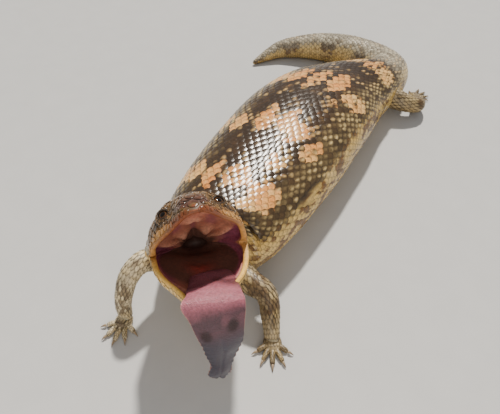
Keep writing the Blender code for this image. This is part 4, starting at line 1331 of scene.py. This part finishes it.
def plate_faces(sides, rings):
    """Faces of a plate: walls between its rings, a fan on top and its underside."""
    faces = []
    for r in range(rings - 1):
        for k in range(sides):
            a, b = r * sides + k, r * sides + (k + 1) % sides
            faces.append([a, b, b + sides, a + sides])
    last = (rings - 1) * sides
    faces += [[last + k, last + (k + 1) % sides, rings * sides] for k in range(sides)]
    return faces + [list(range(sides - 1, -1, -1))]


def nearest_on(tree, points):
    """The points of a skin that lie nearest."""
    return np.array([tree.find_nearest(Vector(p))[0][:] for p in points])


def plate_reach(tree, seed, arms, others, size, steepest):
    """How far a plate reaches along each of its arms before another plate's middle is nearer, with no
    arm longer than its neighbours by more than the steepest step."""
    low, high = np.zeros(len(arms)), np.full(len(arms), size * 1.15)
    for _ in range(8):
        radius = (low + high) / 2
        reached = nearest_on(tree, seed + arms * radius[:, None])
        own = np.linalg.norm(reached - seed, axis=1)
        free = own < np.linalg.norm(reached[:, None] - others[None], axis=-1).min(1)
        low, high = np.where(free, radius, low), np.where(free, high, radius)
    for _ in range(3):
        low = np.minimum(low, np.minimum(np.roll(low, 1), np.roll(low, -1)) * steepest)
    return low


def build_head_coat(measures, skin_tree):
    """Shields, labials, granules and side scales of the head, each a plate that fits its neighbours."""
    seeds, sizes, ghosts = head_seeds()
    more, more_sizes = spread_seeds(seeds, sizes, ghosts, measures)
    sizes = np.concatenate([sizes, more_sizes])
    every = nearest_on(skin_tree, np.vstack([seeds, more, ghosts]))
    lookup = search_tree(measures["points"][::2, ::2].reshape(-1, 3))
    picked = {key: measures[key][::2, ::2].reshape(-1) for key in ("angle", "back", "t")}
    forward = head_frame()[1]
    rng = np.random.default_rng(9)
    made = {key: [] for key in ("points", "faces", "tints", "rims", "patch")}
    count = 0
    for n, size in enumerate(sizes):
        found, normal, _, _ = skin_tree.find_nearest(Vector(every[n]))
        seed, normal = np.array(found), np.array(normal)
        ahead = unit(forward - normal * (forward @ normal))
        across = np.cross(normal, ahead)
        big = size > SHIELD_SIZE
        sides, steepest = SHIELD_SHAPE if big else PLATE_SHAPE
        turns = np.arange(sides) * 2 * math.pi / sides
        arms = ahead * np.cos(turns)[:, None] + across * np.sin(turns)[:, None]
        others = every[np.arange(len(every)) != n]
        others = others[np.linalg.norm(others - seed, axis=1) < size * 4]
        reach = plate_reach(skin_tree, seed, arms, others, size, steepest)
        place = lookup.find(seed)[1]
        angle, t, back = (picked[key][place] for key in ("angle", "t", "back"))
        lapping = smooth((16 - t) / 14) * smooth((back - 4) / 4)
        radius = np.maximum(reach - 0.10, 0.2) + lapping * 0.5 * np.maximum(-np.cos(turns), 0)
        thick = 0.22 + 0.06 * min(size, 4)
        draw = rng.random()
        points, rims = [], []
        for share, level in (*plate_rings(big), (0.0, 1.06)):
            for turn, arm, r in zip(turns, arms, radius if share else radius[:1]):
                hit, up, _, _ = skin_tree.find_nearest(Vector(seed + arm * r * share))
                tilt = -0.30 * lapping * math.cos(turn) * share + 0.12 * lapping
                points.append(np.array(hit) + np.array(up) * (thick * level + tilt * (level > 0)))
                rims.append(1.0 if share > 0.94 else share**2 * 0.7)
        faces = plate_faces(sides, (len(points) - 1) // sides)
        points = np.array(points)
        near = [lookup.find(p)[1] for p in points]
        even = np.ones(len(points))
        tint = head_tints(angle * even, picked["back"][near], picked["t"][near], points, draw * even)
        share = np.array([(t - HEAD_BACK) / 62, (angle % (2 * math.pi)) / (2 * math.pi)])
        local = np.stack([(points - seed) @ ahead, (points - seed) @ across], -1) / size * PATCH_HALF
        made["points"].append(points)
        made["faces"] += [[count + i for i in face] for face in faces]
        made["tints"].append(tint)
        made["rims"].append(np.array(rims))
        made["patch"].append(np.clip(share, 0.01, 0.99) + local)
        count += len(points)
    points, tints, patch = (np.vstack(made[key]) for key in ("points", "tints", "patch"))
    rims = np.concatenate(made["rims"])
    return finished("head_shields", points, made["faces"], HEAD_COAT, tints, rims, patch, 45)


def body_step(u):
    """The length of the body's scales at u mm along it."""
    return float(np.interp(u, SCALE_PLACES, SCALE_LENGTHS))


def body_count(u):
    """How many scales stand round the body at u mm along it."""
    return next((count for limit, count in SCALE_COUNTS if u < limit), LAST_COUNT)


def outside_of(points, tree):
    """Which points lie outside a closed mesh."""
    found = [(Vector(p), tree.find_nearest(Vector(p))) for p in points]
    return np.array([(p - hit).dot(normal) > 0.0 for p, (hit, normal, _, _) in found])


def build_body_coat(trunk):
    """Staggered scales over neck, trunk and tail, left out where a leg grows."""
    reach = trunk["run"][-1]
    places = staggered(trunk, -1.5, reach - 1.5, body_step, body_count, 0.15)
    roots = on_sheet(trunk, places[:, 0], places[:, 1])[0]
    keep = np.ones(len(places), bool)
    for name in LEGS:
        points, faces = loft(inset(leg_points(name, np.linspace(0, 5, 40), 40), 1.2))
        keep &= outside_of(roots, BVHTree.FromPolygons([Vector(p) for p in points], faces))
    places = places[keep]

    def unwrap(u, v):
        return np.stack([0.02 + 0.96 * u / reach, 0.02 + 0.96 * (v % 1)], -1)

    made = []
    for k, label in enumerate(COAT_NAMES):
        mine = places[(places[:, 0] >= COAT_ENDS[k]) & (places[:, 0] < COAT_ENDS[k + 1])]
        how = (trunk_tints, BODY_LIFT, BODY_THICK, 30 + k, unwrap)
        made.append(coat_piece(f"coat_{label}", COAT, SCALE, trunk, mine, *how))
    return made


def leg_tints(u, v, girth, points, draw, a, b):
    """Colour of the legs: pale grey on the right, olive on the left, with dark specks at the edges."""
    again = redrawn(draw)
    olive = smooth((points[..., 0] - 26) / 12)
    olive = 0.10 + 0.65 * olive + 0.4 * (cloud(points, 9, 41) - 0.3) + 0.2 * (draw - 0.5)
    tint = blend(LEG_GREY, LEG_OLIVE, olive)
    pale = 0.45 * smooth((cloud(points, 4, 43) - 0.50) / 0.15) * np.exp(-((a / 0.5) ** 2))
    tint = blend(tint, CREAM, pale)
    edge = smooth((np.abs(a - 0.2 + 0.4 * again) - 0.42) / 0.3)
    edge = edge * smooth((cloud(points, 5, 42) - 0.36) / 0.15)
    tint = blend(tint, INK, 0.8 * edge * (again > 0.25))
    return blend(tint, UMBER, 0.7 * smooth((cloud(points, 6, 44) - 0.60) / 0.08) * (draw > 0.3))


def always(value):
    """A measure that is the same at every place along a sheet."""
    return lambda u: value


def strip_unwrap(reach, strip, strips):
    """An unwrap that gives one sheet its own strip of the bake map."""

    def unwrap(u, v):
        across = (strip + 0.1 + 0.8 * (v % 1)) / strips
        return np.stack([0.02 + 0.96 * np.clip(u / reach, 0, 1), across], -1)

    return unwrap


def build_leg_coats(skin_tree):
    """Scales over legs, palms and toes, left out where the skin covers them or they touch the floor."""
    made = []
    for name in LEGS:
        kind, word = name.split("_")
        limbs = [(leg_points(name, np.linspace(0, 6.5, 90), 120), LEG_SHEET)]
        limbs.append((palm_points(name, 24, 96), PALM_SHEET))
        for index in range(len(TOES[kind])):
            limbs.append((toe_points(name, index, SIDES[word], 20, 40), TOE_SHEET))
        parts = []
        for k, (rings, (depth, corners, step, count, form, lift, gap)) in enumerate(limbs):
            sheet = sheet_of(even_rings(inset(rings, depth), corners))
            reach = sheet["run"][-1]
            places = staggered(sheet, 0.2, reach - 0.3, always(step), always(count))
            roots = on_sheet(sheet, places[:, 0], places[:, 1])[0]
            keep = [(Vector(p) - skin_tree.find_nearest(Vector(p))[0]).length < gap for p in roots]
            places = places[np.array(keep) & (roots[:, 2] > 0.0)]
            if len(places):
                how = (leg_tints, lift, LEG_THICK, 50 + k, strip_unwrap(reach, k, len(limbs)))
                parts.append(coat_piece(f"coat_{name}_{k}", LEG_COAT, form, sheet, places, *how))
        made.append(joined_pieces(f"coat_{name}", parts))
    return made


def joined_pieces(name, parts):
    """Several pieces of the coat as one."""
    bpy.ops.object.select_all(action="DESELECT")
    for part in parts:
        part.select_set(True)
    bpy.context.view_layer.objects.active = parts[0]
    bpy.ops.object.join()
    whole = bpy.context.view_layer.objects.active
    whole.name = whole.data.name = name
    return whole


def build_tongue():
    """The tongue: a flat flap with thin scalloped edges, a groove and a notched tip."""
    steps, sides = 190, 72
    rings = tongue_points(steps, sides)
    share = np.linspace(0, 1, steps)[:, None]
    row = share * (len(TONGUE) - 1)
    turn = np.arange(sides) * 2 * math.pi / sides
    c, s = np.cos(turn)[None], np.sin(turn)[None]
    middle = rings.mean(1, keepdims=True)
    waist = 1 - 0.10 * np.exp(-(((row - 10.6) / 0.3) ** 2))
    waist = waist + 0.08 * np.exp(-(((row - 11.7) / 0.5) ** 2))
    rings = middle + (rings - middle) * (1 + (waist - 1) * np.abs(c))[..., None]
    ripple = np.sin(share * 170 + 1.5 * np.sign(c)) * smooth((share - 0.55) / 0.1) * 0.26
    groove = -0.30 * np.exp(-((c / 0.12) ** 2)) * (s > 0) * smooth((share - 0.2) / 0.1)
    waves = 0.30 * (cloud(rings, 6, 31) - 0.5) + 0.30 * np.sin(row * 2.4 + c * 1.5) * np.sign(s)
    rise = np.abs(c) ** 6 * ripple + groove + waves * (np.abs(c) < 0.98)
    rings = rings + outward(rings) * rise[..., None]
    ahead = rings[-1].mean(0) - rings[-12].mean(0)
    notch = 1.8 * smooth((share - 0.93) / 0.07) * np.exp(-((c / 0.30) ** 2))
    rings = rings - unit(ahead) * notch[..., None]
    points, faces = loft(rings)
    share = share * np.ones_like(c)
    # Partly painted shade: the root inside the mouth is dark, and the plum and slate further down are the
    # tongue's own hues darkened to stand in for shade.
    tint = blend(SHADED_TONGUE_ROOT, TONGUE_MAUVE, smooth((share - 0.20) / 0.10))
    tint = blend(tint, SHADED_TONGUE_PLUM, smooth((share - 0.390) / 0.09))
    tint = blend(tint, SHADED_TONGUE_SLATE, smooth((share - 0.52) / 0.12))
    tint = blend(tint, TONGUE_TIP, smooth((share - 0.80) / 0.15))
    mottle = 0.35 * smooth((cloud(rings, 5, 32) - 0.5) / 0.2)
    tint = blend(tint, TONGUE_MAUVE, mottle * smooth((0.6 - share) / 0.2))
    # Painted shade: two dark patches where the tongue folds.
    for centre, across in ((0.550, -0.62), (0.525, 0.50)):
        near = np.hypot((share - centre) / 0.034, (c - across) / 0.25)
        tint = blend(tint, TONGUE_FOLD_SHADE, smooth((1.3 - near) / 0.8) * 0.95)
    # Painted rim light: the tongue's thin edges are made paler beyond its root.
    pale = smooth((np.abs(c) - 0.975) / 0.02) * smooth((share - 0.3) / 0.05)
    tint = blend(tint, TONGUE_RIM_LIGHT, pale * 0.75)
    tint = np.vstack([tint.reshape(-1, 3), tint[0].mean(0), tint[-1].mean(0)])
    tongue = finished("tongue_flap", points, faces, TONGUE_FINISH, tint, smooth_angle=0)
    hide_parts("tongue")


def build_eyes():
    """The eyes: dark, with a brown iris and a black pupil."""
    for word, side in SIDES.items():
        centre, out, _, _ = eye_frame(side)
        bpy.ops.object.select_all(action="DESELECT")
        where = Vector((centre - np.asarray(ORIGIN)) * MM)
        size = {"segments": 64, "ring_count": 48, "radius": EYE_RADIUS * MM}
        bpy.ops.mesh.primitive_uv_sphere_add(location=where, **size)
        eye = bpy.context.active_object
        eye.name = eye.data.name = f"eyeball_{word}"
        bpy.ops.object.transform_apply(location=True, rotation=True, scale=True)
        points = np.array([v.co[:] for v in eye.data.vertices]) / MM + np.asarray(ORIGIN)
        facing = (points - centre) @ out / EYE_RADIUS
        tint = blend(EYE_DARK, IRIS, smooth((facing - 0.80) / 0.06))
        tint = blend(tint, PUPIL, smooth((facing - 0.925) / 0.015))
        paint(eye.data, tint)
        eye.data.materials.append(EYE_FINISH)
        bpy.ops.object.shade_smooth()
        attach(eye, "root")
        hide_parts(f"eye_{word}")


def build_claws():
    """The claws, one piece for each foot."""
    steps, corners = 12, 14
    for name in LEGS:
        kind, word = name.split("_")
        points, faces, tints = np.empty((0, 3)), [], []
        for index in range(len(TOES[kind])):
            more, sides = loft(claw_points(name, index, SIDES[word], steps, corners))
            faces += [[len(points) + i for i in face] for face in sides]
            points = np.vstack([points, more])
            tip = np.clip(np.arange(len(more)) / corners / steps, 0, 1)
            tints.append(blend(CLAW_ROOT, CLAW_TIP, tip))
        claws = finished(f"claws_{name}", points, faces, HORN, np.vstack(tints), smooth_angle=60)
        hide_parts(*(f"claw_{name}_{k + 1}" for k in range(len(TOES[kind]))))


def pale_floor():
    """The plain pale floor, with a faint grain."""
    material = bpy.data.materials.new("pale_floor")
    material.use_nodes = True
    tree = material.node_tree
    shader = tree.nodes["Principled BSDF"]
    place = node(tree, "ShaderNodeTexCoord").outputs["Object"]
    grain = node(tree, "ShaderNodeTexNoise", {"Vector": place, "Scale": 60.0, "Detail": 5.0})
    tone = ranged(tree, grain.outputs["Fac"], (0.0, 1.0), 0.50, 0.55)
    colour = node(tree, "ShaderNodeCombineColor", {"Red": tone, "Green": tone, "Blue": tone})
    tree.links.new(colour.outputs["Color"], shader.inputs["Base Color"])
    shader.inputs["Roughness"].default_value = 0.8
    bpy.ops.object.select_all(action="DESELECT")
    bpy.ops.mesh.primitive_plane_add(size=4.0)
    floor = bpy.context.active_object
    floor.name = "floor"
    floor.data.materials.append(material)


def area_lamp(place, aim, power, size, colour):
    """A soft square lamp, turned to what it lights."""
    bpy.ops.object.light_add(type="AREA", location=place)
    lamp = bpy.context.active_object
    lamp.data.energy, lamp.data.size, lamp.data.color = power, size, colour
    lamp.rotation_euler = (Vector(aim) - lamp.location).to_track_quat("-Z", "Y").to_euler()


def camera_and_light():
    """The photograph's view, a sun as key light, a weak fill lamp, a small lamp at the mouth and a
    pale sky."""
    bpy.ops.object.camera_add(location=CAMERA_PLACE, rotation=[math.radians(a) for a in CAMERA_TURN])
    camera = bpy.context.active_object
    camera.data.sensor_width, camera.data.lens = LENS, LENS
    camera.data.clip_start = 0.01
    bpy.context.scene.camera = camera
    bpy.ops.object.light_add(type="SUN", rotation=[math.radians(a) for a in KEY_TURN])
    key = bpy.context.active_object
    power, width, colour = KEY_LIGHT
    key.data.energy, key.data.angle, key.data.color = power, math.radians(width), colour
    area_lamp(*FILL_LAMP)
    mouth = (Vector(HINGE) - Vector(ORIGIN)) * MM
    away, power, size, colour = MOUTH_LAMP
    area_lamp(mouth + Vector(away), mouth, power, size, colour)
    world = bpy.data.worlds.new("studio")
    bpy.context.scene.world = world
    world.use_nodes = True
    sky = world.node_tree.nodes["Background"]
    sky.inputs["Color"].default_value, sky.inputs["Strength"].default_value = SKY


pale_floor()
camera_and_light()
trunk = trunk_sheet()
points, faces, tints, measures = build_skin(trunk)
hide = finished("skin", points, faces, HIDE, tints, smooth_angle=0)
skin_tree = BVHTree.FromPolygons([Vector(p) for p in points], faces)
flesh = [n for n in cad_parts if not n.startswith(("claw", "eye", "tongue"))]
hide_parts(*flesh)
for piece in build_body_coat(trunk):
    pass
build_head_coat(measures, skin_tree)
for piece in build_leg_coats(skin_tree):
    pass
build_tongue()
build_eyes()
build_claws()
